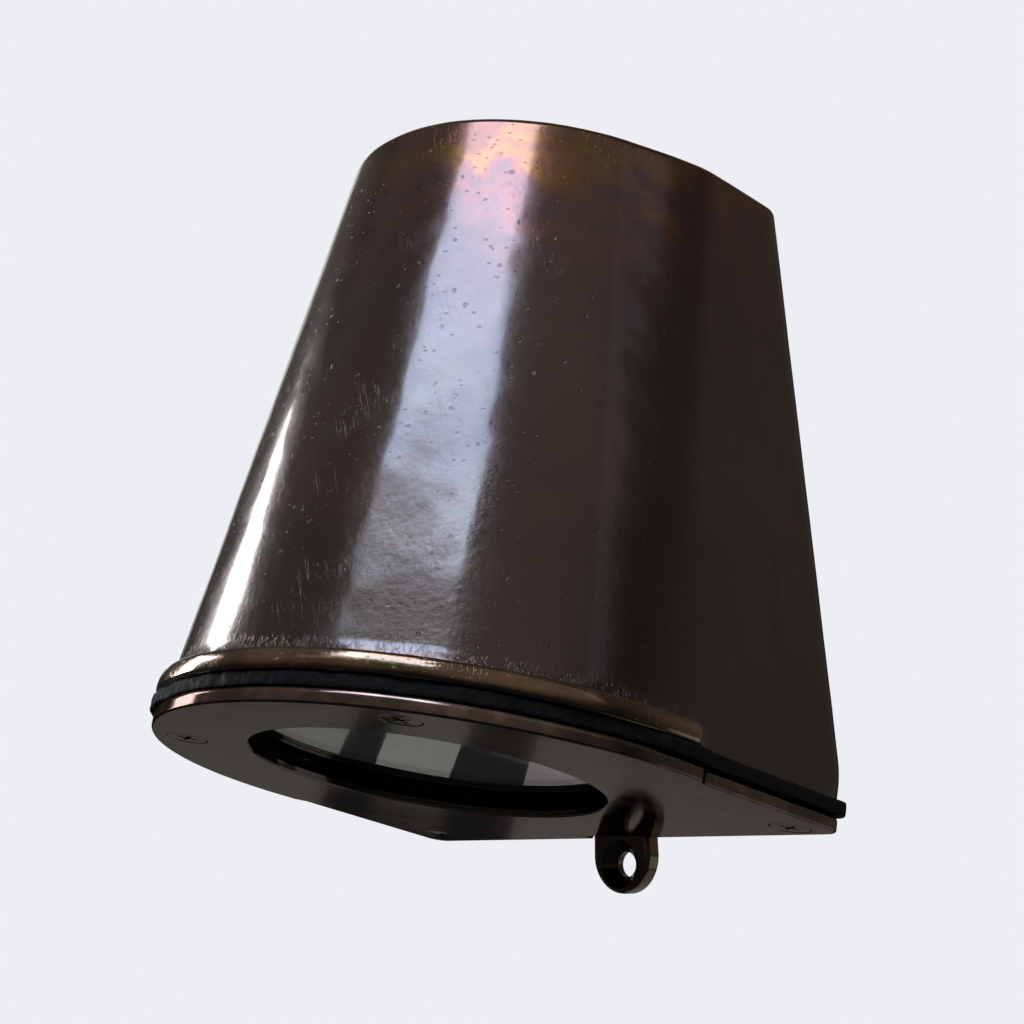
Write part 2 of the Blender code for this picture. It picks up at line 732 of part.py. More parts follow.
def pin_slot(half_width, start, end, side):
    """Outline of a curved slot about the lamp axis."""
    base = 0.0 if side > 0 else math.pi
    outer = arc((0, 0), PIN_SPACING + half_width, base + start, base + end, 3)
    inner = arc((0, 0), PIN_SPACING - half_width, base + end, base + start, 3)
    tip = (PIN_SPACING * math.cos(base + end), PIN_SPACING * math.sin(base + end))
    tail = (PIN_SPACING * math.cos(base + start), PIN_SPACING * math.sin(base + start))
    cap_end = arc(tip, half_width, base + end, base + end + math.pi, 6)[1:-1]
    cap_start = arc(tail, half_width, base + start + math.pi, base + start + 2 * math.pi, 6)[1:-1]
    return outer + cap_end + inner + cap_start


def make_holder():
    spot = (0, OPENING_Y, 0)
    profile = [
        (0, HOLDER_TOP),
        (HOLDER_RADIUS - 1 * MM, HOLDER_TOP),
        (HOLDER_RADIUS, HOLDER_TOP - 1 * MM),
        (HOLDER_RADIUS, HOLDER_BOTTOM + 1 * MM),
        (HOLDER_RADIUS - 1 * MM, HOLDER_BOTTOM),
        (0, HOLDER_BOTTOM),
    ]
    holder = turned("lampholder", profile, CERAMIC, cover_axis, spot, 32)
    face = HOLDER_BOTTOM - 1 * MM
    for index, side in enumerate((-1, 1)):
        neck = sheet_mesh([pin_slot(PIN_NECK_RADIUS + 0.4 * MM, 0, LAMP_TWIST, side)], 6 * MM)
        cut(holder, cover_place(f"pin_neck_slot_{index}", neck, None, (0, OPENING_Y, face)))
        pocket = sheet_mesh([pin_slot(PIN_HEAD_RADIUS + 0.5 * MM, 0, LAMP_TWIST, side)], 6.5 * MM)
        spot = (0, OPENING_Y, HOLDER_BOTTOM + 2.6 * MM)
        cut(holder, cover_place(f"pin_pocket_{index}", pocket, None, spot))
        angle = LAMP_TWIST + (math.pi if side < 0 else 0)
        x = PIN_SPACING * math.cos(angle)
        y = OPENING_Y + PIN_SPACING * math.sin(angle)
        key = disc(PIN_HEAD_RADIUS + 0.5 * MM, 6 * MM, 14)
        cut(holder, cover_place(f"pin_key_{index}", key, None, (x, y, face)))
        wire = disc(1.5 * MM, 6 * MM, 10)
        spot = (side * 9.5 * MM, OPENING_Y, HOLDER_TOP - 3.5 * MM)
        hole = cover_place(f"wire_hole_{index}", wire, None, spot)
        hole.rotation_euler = (0, side * math.pi / 2, 0)
        cut(holder, hole)
        tapping = disc(1.8 * MM, 4.5 * MM, 10)
        spot = (0, OPENING_Y + side * 10 * MM, HOLDER_TOP - 3.5 * MM)
        cut(holder, cover_place(f"holder_tapping_{index}", tapping, None, spot))
    return holder


# ---------------------------------------------------------------- bracket and wiring


def make_bracket():
    """A folded strip: one leg on the wall pads, the other under the crown over the lamp."""
    pad = -(BACK_WALL + PAD_HEIGHT) - GAP
    foot = from_wall(0, pad, BRACKET_FOOT_Z)
    # The legs meet where the wall leg reaches the level of the holder's top.
    wall_leg = Vector((from_wall(0, pad, 50 * MM)[1] - foot[1], from_wall(0, pad, 50 * MM)[2] - foot[2]))
    wall_leg.normalize()
    inward = Vector((-wall_leg.y, wall_leg.x))
    top = BRACKET_LEVEL + BRACKET_THICKNESS
    outer_rise = (top - foot[2]) / wall_leg.y
    outer_corner = (foot[1] + wall_leg.x * outer_rise, top)
    inner_foot = (foot[1] + inward.x * BRACKET_THICKNESS, foot[2] + inward.y * BRACKET_THICKNESS)
    inner_rise = (BRACKET_LEVEL - inner_foot[1]) / wall_leg.y
    inner_corner = (inner_foot[0] + wall_leg.x * inner_rise, BRACKET_LEVEL)
    tip = OPENING_Y - 15 * MM
    upper = [(foot[1], foot[2]), outer_corner, (tip, top)]
    lower = [(tip, BRACKET_LEVEL), inner_corner, inner_foot]
    mesh = sheet_mesh([upper + lower], 2 * BRACKET_HALF_WIDTH)
    # Turn the sheet so that its outline lies in the YZ plane and its thickness along X.
    turn = Matrix(((0, 0, 1, 0), (1, 0, 0, 0), (0, 1, 0, 0), (0, 0, 0, 1)))
    mesh.transform(at(-BRACKET_HALF_WIDTH, 0, 0) @ turn)
    bracket = cover_place("holder_bracket", mesh, STEEL)
    for index, z in enumerate(BRACKET_SCREW_Z):
        hole = disc(2.4 * MM, 12 * MM, 14)
        spot = place(f"bracket_hole_{index}", hole, None, wall_frame, (0, -4 * MM, z), (math.pi / 2, 0, 0))
        cut(bracket, spot)
    for index, side in enumerate((-1, 1)):
        hole = disc(1.9 * MM, 8 * MM, 10)
        spot = (0, OPENING_Y + side * 10 * MM, BRACKET_LEVEL - 3 * MM)
        cut(bracket, cover_place(f"holder_hole_{index}", hole, None, spot))
    return bracket


def make_bracket_screws():
    seat = -(BACK_WALL + PAD_HEIGHT) - BRACKET_THICKNESS - 2 * GAP
    for index, z in enumerate(BRACKET_SCREW_Z):
        sizes = (4.0 * MM, 2.4 * MM, 1.95 * MM, 8.0 * MM)
        pan_screw(f"bracket_screw_{index + 1}", sizes, wall_frame, (0, seat, z), (math.pi / 2, 0, 0))
    for index, side in enumerate((-1, 1)):
        sizes = (3.0 * MM, 1.8 * MM, 1.45 * MM, 5.0 * MM)
        spot = (0, OPENING_Y + side * 10 * MM, BRACKET_LEVEL + BRACKET_THICKNESS + GAP)
        pan_screw(f"holder_screw_{index + 1}", sizes, cover_axis, spot)


def make_earth_point():
    seat = -(BACK_WALL + PAD_HEIGHT) - GAP
    outward = (math.pi / 2, 0, 0)
    thickness = 0.8 * MM
    washer = sheet_mesh([circle(4.6 * MM, 16), circle(2.3 * MM, 12)], thickness)
    place("earth_washer", washer, BRASS, wall_frame, (EARTH_X, seat, EARTH_Z), outward)
    seat -= thickness + GAP
    sizes = (4.0 * MM, 2.4 * MM, 1.95 * MM, 6.5 * MM)
    pan_screw("earth_screw", sizes, wall_frame, (EARTH_X, seat, EARTH_Z), outward, BRASS)


BLOCK_SIZE = (24 * MM, 12 * MM, 14 * MM)
BLOCK_Z = 17.0 * MM  # centre height of the terminal block, wall frame
BLOCK_PITCH = 7.5 * MM


def make_terminal_block():
    """A three-way block on the wall leg of the bracket."""
    leg_face = -(BACK_WALL + PAD_HEIGHT) - BRACKET_THICKNESS - 2 * GAP
    centre = (0, leg_face - BLOCK_SIZE[1] / 2, BLOCK_Z)
    block = place("terminal_block", box(*BLOCK_SIZE), WHITE_PLASTIC, wall_frame, centre)
    bevel(block, 0.8 * MM, 1)
    front = leg_face - BLOCK_SIZE[1]
    for column in (-1, 0, 1):
        x = column * BLOCK_PITCH
        channel = disc(1.7 * MM, BLOCK_SIZE[2] + 6 * MM, 10)
        spot = (x, front + 7.5 * MM, BLOCK_Z - 10 * MM)
        cut(block, place(f"channel_{column}", channel, None, wall_frame, spot))
        for row in (-1, 1):
            z = BLOCK_Z + row * 3.6 * MM
            well = disc(2.0 * MM, 5.2 * MM, 10)
            place_at = (x, front + 4.2 * MM, z)
            cut(block, place(f"well_{column}_{row}", well, None, wall_frame, place_at, (math.pi / 2, 0, 0)))
            place(
                f"terminal_screw_{column + 2}_{(row + 3) // 2}",
                disc(1.6 * MM, 2.6 * MM, 8),
                BRASS,
                wall_frame,
                (x, front + 3.6 * MM, z),
                (math.pi / 2, 0, 0),
            )


def make_grommet():
    """A rubber bush in the cable entry, with a lip on each face of the back wall."""
    inner = 3.2 * MM
    neck = ENTRY_RADIUS - GAP
    lip = ENTRY_RADIUS + 1.8 * MM
    face = BACK_WALL + GAP
    profile = [
        (inner, face + 3.5 * MM),
        (inner + 1.6 * MM, face + 3.5 * MM),
        (lip, face + 1.6 * MM),
        (lip, face),
        (neck, face),
        (neck, 0.4 * MM),
        (inner, 0.4 * MM),
    ]
    spot = (0, 0, ENTRY_Z)
    outward = (math.pi / 2, 0, 0)
    turned("cable_grommet", profile, RUBBER, wall_frame, spot, 24, ring=True, rotation=outward)


def make_wires():
    """The wires from the terminal block to the holder and the earth screw."""
    front = -(BACK_WALL + PAD_HEIGHT) - BRACKET_THICKNESS - 2 * GAP - BLOCK_SIZE[1]
    top = BLOCK_Z + BLOCK_SIZE[2] / 2
    depth = front + 7.5 * MM
    for name, side, look in (("live_wire", -1, BROWN_PVC), ("neutral_wire", 1, BLUE_PVC)):
        x = side * BLOCK_PITCH
        entry = (side * 12.5 * MM, OPENING_Y, HOLDER_TOP - 3.5 * MM)
        route = [
            from_wall(x, depth, top - 3.5 * MM),
            from_wall(x, depth, top + 1.5 * MM),
            from_wall(x * 1.5, depth - 1 * MM, top + 6 * MM),
            (side * 19 * MM, 8 * MM, entry[2] - 3 * MM),
            (side * 21 * MM, -2 * MM, entry[2] - 1 * MM),
            (side * 19.0 * MM, entry[1] - 0.5 * MM, entry[2]),
            (side * 15.5 * MM, entry[1], entry[2]),
            entry,
        ]
        tube(name, route, 1.0 * MM, look)
    bottom = BLOCK_Z - BLOCK_SIZE[2] / 2
    end_y = -(BACK_WALL + PAD_HEIGHT) - GAP - 0.4 * MM
    route = [
        from_wall(0, depth, bottom + 3.5 * MM),
        from_wall(0, depth, bottom - 1.5 * MM),
        from_wall(3 * MM, depth - 0.5 * MM, bottom - 6 * MM),
        from_wall(10 * MM, -17 * MM, EARTH_Z + 13 * MM),
        from_wall(19 * MM, -13 * MM, EARTH_Z + 11 * MM),
        from_wall(EARTH_X - 0.5 * MM, -10.4 * MM, EARTH_Z + 9.5 * MM),
        from_wall(EARTH_X, end_y, EARTH_Z + 6.6 * MM),
        from_wall(EARTH_X, end_y, EARTH_Z + 5.9 * MM),
    ]
    tube("earth_wire", route, 1.0 * MM, GREEN_PVC)


make_hood()
make_cover_plate()
make_cover_gasket()
make_cover_screws()
make_lens()
make_clamp()
make_lamp()
make_holder()
make_bracket()
make_bracket_screws()
make_earth_point()
make_terminal_block()
make_grommet()
make_wires()
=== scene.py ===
"""Looks of the hooded wall downlight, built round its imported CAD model.

The hood, the cover plate, the gasket, the cross-headed screws, the glass with its seal, the glare cone,
the lamp and the cable grommet get finer meshes in place of their CAD nodes. The other nodes keep their
CAD mesh and get a material. Meshes are worked out in the cover frame, whose z axis is the normal of the
cover plate, and are then moved to the wall frame.
"""

import json
import math
import bmesh
import bpy
import numpy as np
from mathutils import Matrix, Vector, noise


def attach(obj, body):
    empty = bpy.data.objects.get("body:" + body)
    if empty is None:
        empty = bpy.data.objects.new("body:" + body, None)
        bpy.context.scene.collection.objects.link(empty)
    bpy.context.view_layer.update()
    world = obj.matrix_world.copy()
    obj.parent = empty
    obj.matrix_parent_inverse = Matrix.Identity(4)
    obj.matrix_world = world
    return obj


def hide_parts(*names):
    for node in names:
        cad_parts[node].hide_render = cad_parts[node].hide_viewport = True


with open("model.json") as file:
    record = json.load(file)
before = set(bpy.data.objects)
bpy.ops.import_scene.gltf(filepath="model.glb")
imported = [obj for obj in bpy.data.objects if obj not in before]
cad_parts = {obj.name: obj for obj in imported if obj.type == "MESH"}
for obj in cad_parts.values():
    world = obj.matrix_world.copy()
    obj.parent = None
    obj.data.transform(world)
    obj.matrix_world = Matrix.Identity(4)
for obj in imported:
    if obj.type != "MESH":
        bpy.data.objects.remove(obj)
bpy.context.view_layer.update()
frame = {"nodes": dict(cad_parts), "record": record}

MM = 0.001
GAP = 0.3 * MM

# Cover frame: its origin is under the centre of the plate's front arc, on the plate's underside.
COVER_TILT = math.radians(12.0)
WALL_Y = 53.2 * MM
ORIGIN_HEIGHT = 61.0 * MM

# Flange outline
FLANGE_RADIUS = 65.0 * MM
FLAT_HALF_WIDTH = 63.5 * MM
FLANGE_BACK = 49.7 * MM
FLANGE_CORNER = 3.6 * MM
STEP_ANGLE = math.radians(4.5)
STEP_LENGTH = 3.0 * MM
LUG_NOTCH = 47.5 * MM

# Cover plate and gasket
PLATE_THICKNESS = 3.4 * MM
GASKET_BOTTOM = PLATE_THICKNESS + 0.1 * MM
GASKET_TOP = 6.3 * MM
GASKET_BAND = 10.5 * MM
GASKET_OVERHANG = 0.9 * MM
OPENING_RADIUS = 37.6 * MM
OPENING_Y = -8.5 * MM
COVER_SCREWS = ((35.3 * MM, -45.5 * MM), (54.7 * MM, 43.4 * MM))

# Hood
HOOD_BOTTOM = 6.4 * MM
HOOD_TOP = 133.2 * MM
FOOT_LEVEL = 11.3 * MM
FOOT_RADIUS = 62.65 * MM
FOOT_FLAT = 62.9 * MM
CROWN_RADIUS = 44.8 * MM
CROWN_CENTRE = -1.3 * MM
CROWN_FLAT = 47.8 * MM
BLEND_ANGLE = math.radians(20.0)
FLAT_START = 3.0 * MM
HOOD_CORNER = 5.0 * MM
CORNER_FLARE = 3.6 * MM  # how much rounder the rear corners get at the foot
HOOD_WALL = 3.8 * MM
BACK_WALL = 5.0 * MM
PAD_HEIGHT = 3.0 * MM
CROWN_WALL = 4.0 * MM
CROWN_ROUNDING = 1.6 * MM
BEAD_RADIUS = 65.6 * MM
BEAD_HEIGHT = 4.5 * MM
BEAD_TOP = HOOD_BOTTOM + BEAD_HEIGHT
# The bead's profile: how far out and how high up it, from its underside round to its top
BEAD_PROFILE = (
    (0.0, 0.0),
    (0.70, 0.0),
    (0.86, 0.03),
    (0.95, 0.09),
    (0.985, 0.17),
    (1.0, 0.28),
    (1.0, 0.40),
    (0.985, 0.52),
    (0.95, 0.64),
    (0.90, 0.76),
    (0.84, 0.87),
    (0.76, 0.945),
    (0.64, 0.985),
    (0.45, 1.0),
    (0.30, 1.0),
)
FILLET = 0.35 * MM
FILLET_HEIGHT = 3.0 * MM
BOSS_RADIUS = 5.2 * MM
BOSS_TOP = 21.3 * MM

# Wall lugs, wall frame
LUG_HALF_WIDTH = 8.6 * MM
LUG_THICKNESS = 4.3 * MM
LUG_HOLE_RADIUS = 2.8 * MM
LUG_SINK_RADIUS = 5.4 * MM
LOWER_LUG = (-62.0 * MM, -75.0 * MM, -77.1 * MM)  # root, centre of the round end, hole
UPPER_LUG = (60.0 * MM, 71.6 * MM, 73.6 * MM)

# Holes in the back wall, wall frame
BRACKET_SCREW_Z = (2.0 * MM, 32.0 * MM)
EARTH_SPOT = (24.0 * MM, -14.0 * MM)
ENTRY_Z = -28.0 * MM
ENTRY_RADIUS = 6.5 * MM

# Glass and what holds it
GLASS_RADIUS = 43.0 * MM
GLASS_BOTTOM = 3.6 * MM
GLASS_TOP = 7.6 * MM
LENS_LIP = 1.6 * MM
REBATE_RADIUS = 44.0 * MM
LENS_SEAL_INNER = 38.6 * MM
CLAMP_BOTTOM = 9.0 * MM
CLAMP_TOP = 11.2 * MM
EAR_CIRCLE = 47.5 * MM
EAR_ANGLES = tuple(math.radians(a) for a in (40.0, 140.0, 200.0, 340.0))
PILLAR_RADIUS = 3.0 * MM

# Glare cone
CONE_WALL = 0.8 * MM
CONE_FOOT = GLASS_TOP + GAP
CONE_FOOT_RADIUS = 38.8 * MM
CONE_FLANGE_TOP = 8.7 * MM
CONE_TOP = 30.0 * MM
CONE_TOP_RADIUS = 28.0 * MM

# Lamp
LAMP_FRONT = 32.0 * MM
LAMP_BASE = 86.0 * MM
LAMP_RADIUS = 25.0 * MM

# Camera, wall frame
CAMERA_TARGET = Vector((6.2 * MM, -42.5 * MM, -2.3 * MM))
CAMERA_AZIMUTH = math.radians(47.90)
CAMERA_ELEVATION = math.radians(-9.88)
CAMERA_ROLL = math.radians(0.18)
CAMERA_DISTANCE = 455.3 * MM
CAMERA_LENS = 74.1
BACKDROP = (0.847, 0.855, 0.896)

TO_WALL = Matrix.Translation((0, -WALL_Y * math.cos(COVER_TILT), -ORIGIN_HEIGHT)) @ Matrix.Rotation(
    -COVER_TILT, 4, "X"
)
OPENING = Matrix.Translation((0, OPENING_Y, 0))


# ---------------------------------------------------------------- mesh helpers


def new_mesh(name, points, faces):
    mesh = bpy.data.meshes.new(name)
    mesh.from_pydata([tuple(p) for p in points], [], faces)
    return mesh


def finish_mesh(mesh, sharp=35.0):
    work = bmesh.new()
    work.from_mesh(mesh)
    bmesh.ops.recalc_face_normals(work, faces=work.faces)
    work.to_mesh(mesh)
    work.free()
    mesh.shade_smooth()
    mesh.set_sharp_from_angle(angle=math.radians(sharp))
    return mesh


def add_object(name, mesh):
    made = bpy.data.objects.new(name, mesh)
    bpy.context.scene.collection.objects.link(made)
    return made


def grid_solid(name, rows):
    """A closed solid through rings of equal length. A ring of one point closes the end to a tip."""
    points = []
    starts = []
    for ring in rows:
        starts.append(len(points))
        points.extend(ring)
    count = max(len(ring) for ring in rows)
    faces = []
    for index in range(len(rows) - 1):
        low, high = starts[index], starts[index + 1]
        for i in range(count):
            j = (i + 1) % count
            if len(rows[index]) == 1:
                faces.append((low, high + j, high + i))
            elif len(rows[index + 1]) == 1:
                faces.append((low + i, low + j, high))
            else:
                faces.append((low + i, low + j, high + j, high + i))
    if len(rows[0]) > 1:
        faces.append(tuple(range(count))[::-1])
    if len(rows[-1]) > 1:
        faces.append(tuple(starts[-1] + i for i in range(count)))
    return finish_mesh(new_mesh(name, points, faces))


def turned_rows(profile, sides):
    """Rings about z for a profile of (radius, z)."""
    rows = []
    for radius, z in profile:
        if radius < 1e-7:
            rows.append([(0, 0, z)])
            continue
        turn = [2 * math.pi * i / sides for i in range(sides)]
        rows.append([(radius * math.cos(a), radius * math.sin(a), z) for a in turn])
    return rows


def turned(name, profile, sides=96):
    return grid_solid(name, turned_rows(profile, sides))


def turned_ring(name, profile, sides=128):
    """A ring-shaped solid: the profile of (radius, z) closes on itself."""
    rows = turned_rows(profile, sides)
    points = [p for ring in rows for p in ring]
    count = len(rows)
    faces = []
    for index in range(count):
        low = index * sides
        high = (index + 1) % count * sides
        for i in range(sides):
            j = (i + 1) % sides
            faces.append((low + i, low + j, high + j, high + i))
    return finish_mesh(new_mesh(name, points, faces))


def rounded(profile, radius, steps=4):
    """The profile with each inner corner rounded off. The first and last points stay."""
    out = [profile[0]]
    for before, corner, after in zip(profile, profile[1:], profile[2:]):
        a = Vector(before) - Vector(corner)
        b = Vector(after) - Vector(corner)
        cut_back = min(radius, a.length * 0.45, b.length * 0.45)
        start = Vector(corner) + a.normalized() * cut_back
        end = Vector(corner) + b.normalized() * cut_back
        for k in range(steps + 1):
            t = k / steps
            point = start * (1 - t) ** 2 + Vector(corner) * 2 * t * (1 - t) + end * t * t
            out.append(tuple(point))
    out.append(profile[-1])
    return out


def arc(centre, radius, start, end, count):
    turn = [start + (end - start) * i / count for i in range(count + 1)]
    return [(centre[0] + radius * math.cos(a), centre[1] + radius * math.sin(a)) for a in turn]


def applied(mesh, set_up):
    """The mesh after the modifiers that set_up adds to an object that holds it."""
    holder = add_object("working", mesh)
    set_up(holder)
    bpy.context.view_layer.update()
    graph = bpy.context.evaluated_depsgraph_get()
    result = bpy.data.meshes.new_from_object(holder.evaluated_get(graph))
    bpy.data.objects.remove(holder, do_unlink=True)
    return result


def area_weighted(mesh):
    """Weights the normals by face area, so that a large flat face stays flat up to its rounded edge."""

    def set_up(holder):
        step = holder.modifiers.new("normals", "WEIGHTED_NORMAL")
        step.keep_sharp = True
        step.weight = 50

    return applied(mesh, set_up)


def combined(mesh, others, operation, solver="MANIFOLD"):
    """The mesh after a Boolean with each of the other meshes, which it removes."""
    tools = [add_object("tool", other) for other in others]

    def set_up(holder):
        for tool in tools:
            step = holder.modifiers.new(operation, "BOOLEAN")
            step.operation = operation
            step.solver = solver
            step.object = tool

    result = applied(mesh, set_up)
    for tool in tools:
        bpy.data.objects.remove(tool, do_unlink=True)
    return result


def moved(mesh, matrix):
    mesh.transform(matrix)
    return mesh


def cylinder(radius, low, high, sides=32, top_radius=None):
    top_radius = radius if top_radius is None else top_radius
    return turned("cylinder", [(0, low), (radius, low), (top_radius, high), (0, high)], sides)


def facing_out(x, z, depth=0.0):
    """Wall frame to a frame whose z axis points out of the wall at (x, z)."""
    return Matrix.Translation((x, -depth, z)) @ Matrix.Rotation(math.pi / 2, 4, "X")


def piece(name, mesh, body, slot, *nodes, sharp=35.0):
    """Makes the mesh a piece in place of CAD nodes, riding on their body, with the slot's material."""
    mesh = area_weighted(finish_mesh(mesh, sharp))
    mesh.materials.clear()
    mesh.materials.append(MATERIALS[slot])
    made = add_object(name, mesh)
    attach(made, body)
    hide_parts(*nodes)
    return made


def set_values(mesh, name, values):
    """Stores one number per vertex, which the materials read."""
    attribute = mesh.attributes.new(name, "FLOAT", "POINT")
    attribute.data.foreach_set("value", np.asarray(values, np.float32))


def points_of(mesh):
    points = np.zeros(len(mesh.vertices) * 3)
    mesh.vertices.foreach_get("co", points)
    return points.reshape(-1, 3)


def ramp(values, low, high):
    """0 below low, 1 above high, smooth between."""
    t = np.clip((values - low) / (high - low), 0, 1)
    return t * t * (3 - 2 * t)


# ---------------------------------------------------------------- material helpers


def add(tree, kind, values=None, **settings):
    made = tree.nodes.new("ShaderNode" + kind)
    for key, value in settings.items():
        setattr(made, key, value)
    for key, value in (values or {}).items():
        if isinstance(value, bpy.types.NodeSocket):
            tree.links.new(value, made.inputs[key])
        else:
            made.inputs[key].default_value = value
    return made


def calc(tree, operation, first, second=0.0, clamp=False):
    return add(tree, "Math", {0: first, 1: second}, operation=operation, use_clamp=clamp).outputs[0]


def scale_to(tree, value, low, high, to_low=0.0, to_high=1.0):
    values = {"Value": value, "From Min": low, "From Max": high, "To Min": to_low, "To Max": to_high}
    return add(tree, "MapRange", values, interpolation_type="SMOOTHSTEP").outputs["Result"]


def grain(tree, where, scale, detail=3.0, roughness=0.55, distortion=0.0):
    values = {"Vector": where, "Scale": scale, "Detail": detail}
    values.update({"Roughness": roughness, "Distortion": distortion})
    return add(tree, "TexNoise", values).outputs["Fac"]


def stretched(tree, where, stretch):
    return add(tree, "Mapping", {"Vector": where, "Scale": stretch}).outputs["Vector"]


def blend(tree, share, first, second):
    made = add(tree, "Mix", data_type="RGBA")
    for index, value in ((0, share), (6, first), (7, second)):
        if isinstance(value, bpy.types.NodeSocket):
            tree.links.new(value, made.inputs[index])
        elif index:
            made.inputs[index].default_value = (*value, 1.0)
        else:
            made.inputs[index].default_value = value
    return made.outputs[2]


def colours(tree, value, stops):
    made = add(tree, "ValToRGB", {"Fac": value})
    elements = made.color_ramp.elements
    elements[0].position, elements[0].color = stops[0][0], (*stops[0][1], 1.0)
    elements[1].position, elements[1].color = stops[-1][0], (*stops[-1][1], 1.0)
    for position, colour in stops[1:-1]:
        elements.new(position).color = (*colour, 1.0)
    return made.outputs["Color"]


def bumped(tree, height, distance, strength=1.0, normal=None):
    values = {"Height": height, "Distance": distance, "Strength": strength}
    if normal is not None:
        values["Normal"] = normal
    return add(tree, "Bump", values).outputs["Normal"]


def start_material(name, **plain):
    """A material with one Principled shader. Plain values go straight on its sockets."""
    made = bpy.data.materials.new(name)
    made.use_nodes = True
    tree = made.node_tree
    shader = tree.nodes["Principled BSDF"]
    for key, value in plain.items():
        shader.inputs[key.replace("_", " ")].default_value = value
    place = add(tree, "TexCoord").outputs["Object"]
    return made, tree, shader, place


def drive(tree, shader, **links):
    for key, socket in links.items():
        tree.links.new(socket, shader.inputs[key.replace("_", " ")])


def pits(tree, where, scale, size, share):
    """Scattered round pits: 1 in a pit, 0 outside. Share is how much of the surface may have them."""
    sway = add(tree, "TexNoise", {"Vector": where, "Scale": scale * 2.2}).outputs["Color"]
    shift = add(tree, "VectorMath", {0: sway, 1: (0.5, 0.5, 0.5)}, operation="SUBTRACT").outputs[0]
    reach = 0.55 / scale
    warped = add(tree, "VectorMath", {0: shift, 1: (reach,) * 3, 2: where}, operation="MULTIPLY_ADD")
    cells = add(tree, "TexVoronoi", {"Vector": warped.outputs[0], "Scale": scale, "Randomness": 1.0})
    hole = scale_to(tree, cells.outputs["Distance"], size, size * 0.45)
    picked = add(tree, "SeparateColor", {"Color": cells.outputs["Color"]}).outputs["Red"]
    chosen = scale_to(tree, picked, 1.0 - share, 1.0 - share + 0.02)
    return calc(tree, "MULTIPLY", hole, chosen)


def scratches(tree, where, turn, stretch, scale, width):
    """Thin straight scratches along one direction."""
    turned_place = add(tree, "Mapping", {"Vector": where, "Rotation": turn}).outputs["Vector"]
    lines = grain(tree, stretched(tree, turned_place, stretch), scale, 2.0, 0.5, 0.2)
    off_centre = calc(tree, "ABSOLUTE", calc(tree, "SUBTRACT", lines, 0.5))
    return scale_to(tree, off_centre, width, 0.0)


# ---------------------------------------------------------------- materials


HEAT_COLOURS = (
    (0.50, (0.078, 0.070, 0.062)),
    (0.66, (0.078, 0.063, 0.058)),
    (0.76, (0.088, 0.060, 0.054)),
    (0.82, (0.128, 0.062, 0.054)),
    (0.86, (0.086, 0.064, 0.060)),
    (0.90, (0.130, 0.062, 0.050)),
    (0.95, (0.185, 0.098, 0.026)),
    (1.0, (0.140, 0.064, 0.040)),
)  # from the middle of the hood, where they begin, to its crown


def bronze_body(tree, place, blotch, height, stain_and_shade):
    """Brown patina that runs into heat colours towards the crown, with a darker brown where one is set: a
    drip stain, and painted shade on the lugs.
    """
    broad = scale_to(tree, grain(tree, place, 22.0, 3.0, 0.6), 0.35, 0.68)
    patch = grain(tree, place, 42.0, 6.0, 0.6, 1.2)
    dark = blend(tree, broad, (0.060, 0.050, 0.043), (0.092, 0.070, 0.055))
    body = blend(tree, scale_to(tree, blotch, 0.42, 0.72, 0.0, 0.55), dark, (0.066, 0.056, 0.052))
    sway = calc(tree, "MULTIPLY", calc(tree, "SUBTRACT", patch, 0.5), 0.50)
    level = calc(tree, "ADD", height, sway)
    tint = colours(tree, level, HEAT_COLOURS)
    body = blend(tree, scale_to(tree, level, 0.35, 0.75, 0.0, 0.9), body, tint)
    # Darker brown: a drip stain, and painted shade on the lugs.
    return blend(tree, calc(tree, "MULTIPLY", stain_and_shade, 0.85), body, (0.046, 0.026, 0.012))


def bronze_hollows(tree, place, filed):
    """How deep the surface is marked: casting pits, scratches, and file marks above the bead."""
    deep = pits(tree, place, 330.0, 0.20, 0.26)
    small = pits(tree, stretched(tree, place, (0.6, 0.6, 1.3)), 800.0, 0.27, 0.24)
    some = scale_to(tree, grain(tree, place, 60.0, 2.0, 0.5), 0.52, 0.66)
    marks = scratches(tree, place, (0.3, 0.5, 0.2), (1.0, 1.0, 0.05), 500.0, 0.010)
    across = scratches(tree, place, (0.9, 0.2, 1.1), (0.06, 0.8, 1.0), 420.0, 0.008)
    lines = scratches(tree, place, (0.0, 0.0, 0.0), (1.0, 1.0, 0.05), 1000.0, 0.07)
    broken = scale_to(tree, grain(tree, place, 240.0, 3.0, 0.6), 0.42, 0.60)
    lines = calc(tree, "MULTIPLY", calc(tree, "MULTIPLY", lines, broken), filed)
    scored = calc(tree, "MULTIPLY", calc(tree, "ADD", marks, across), some)
    hollows = calc(tree, "ADD", deep, calc(tree, "MULTIPLY", small, 0.6))
    hollows = calc(tree, "ADD", hollows, calc(tree, "MULTIPLY", scored, 0.16))
    return calc(tree, "ADD", hollows, calc(tree, "MULTIPLY", lines, 2.2))


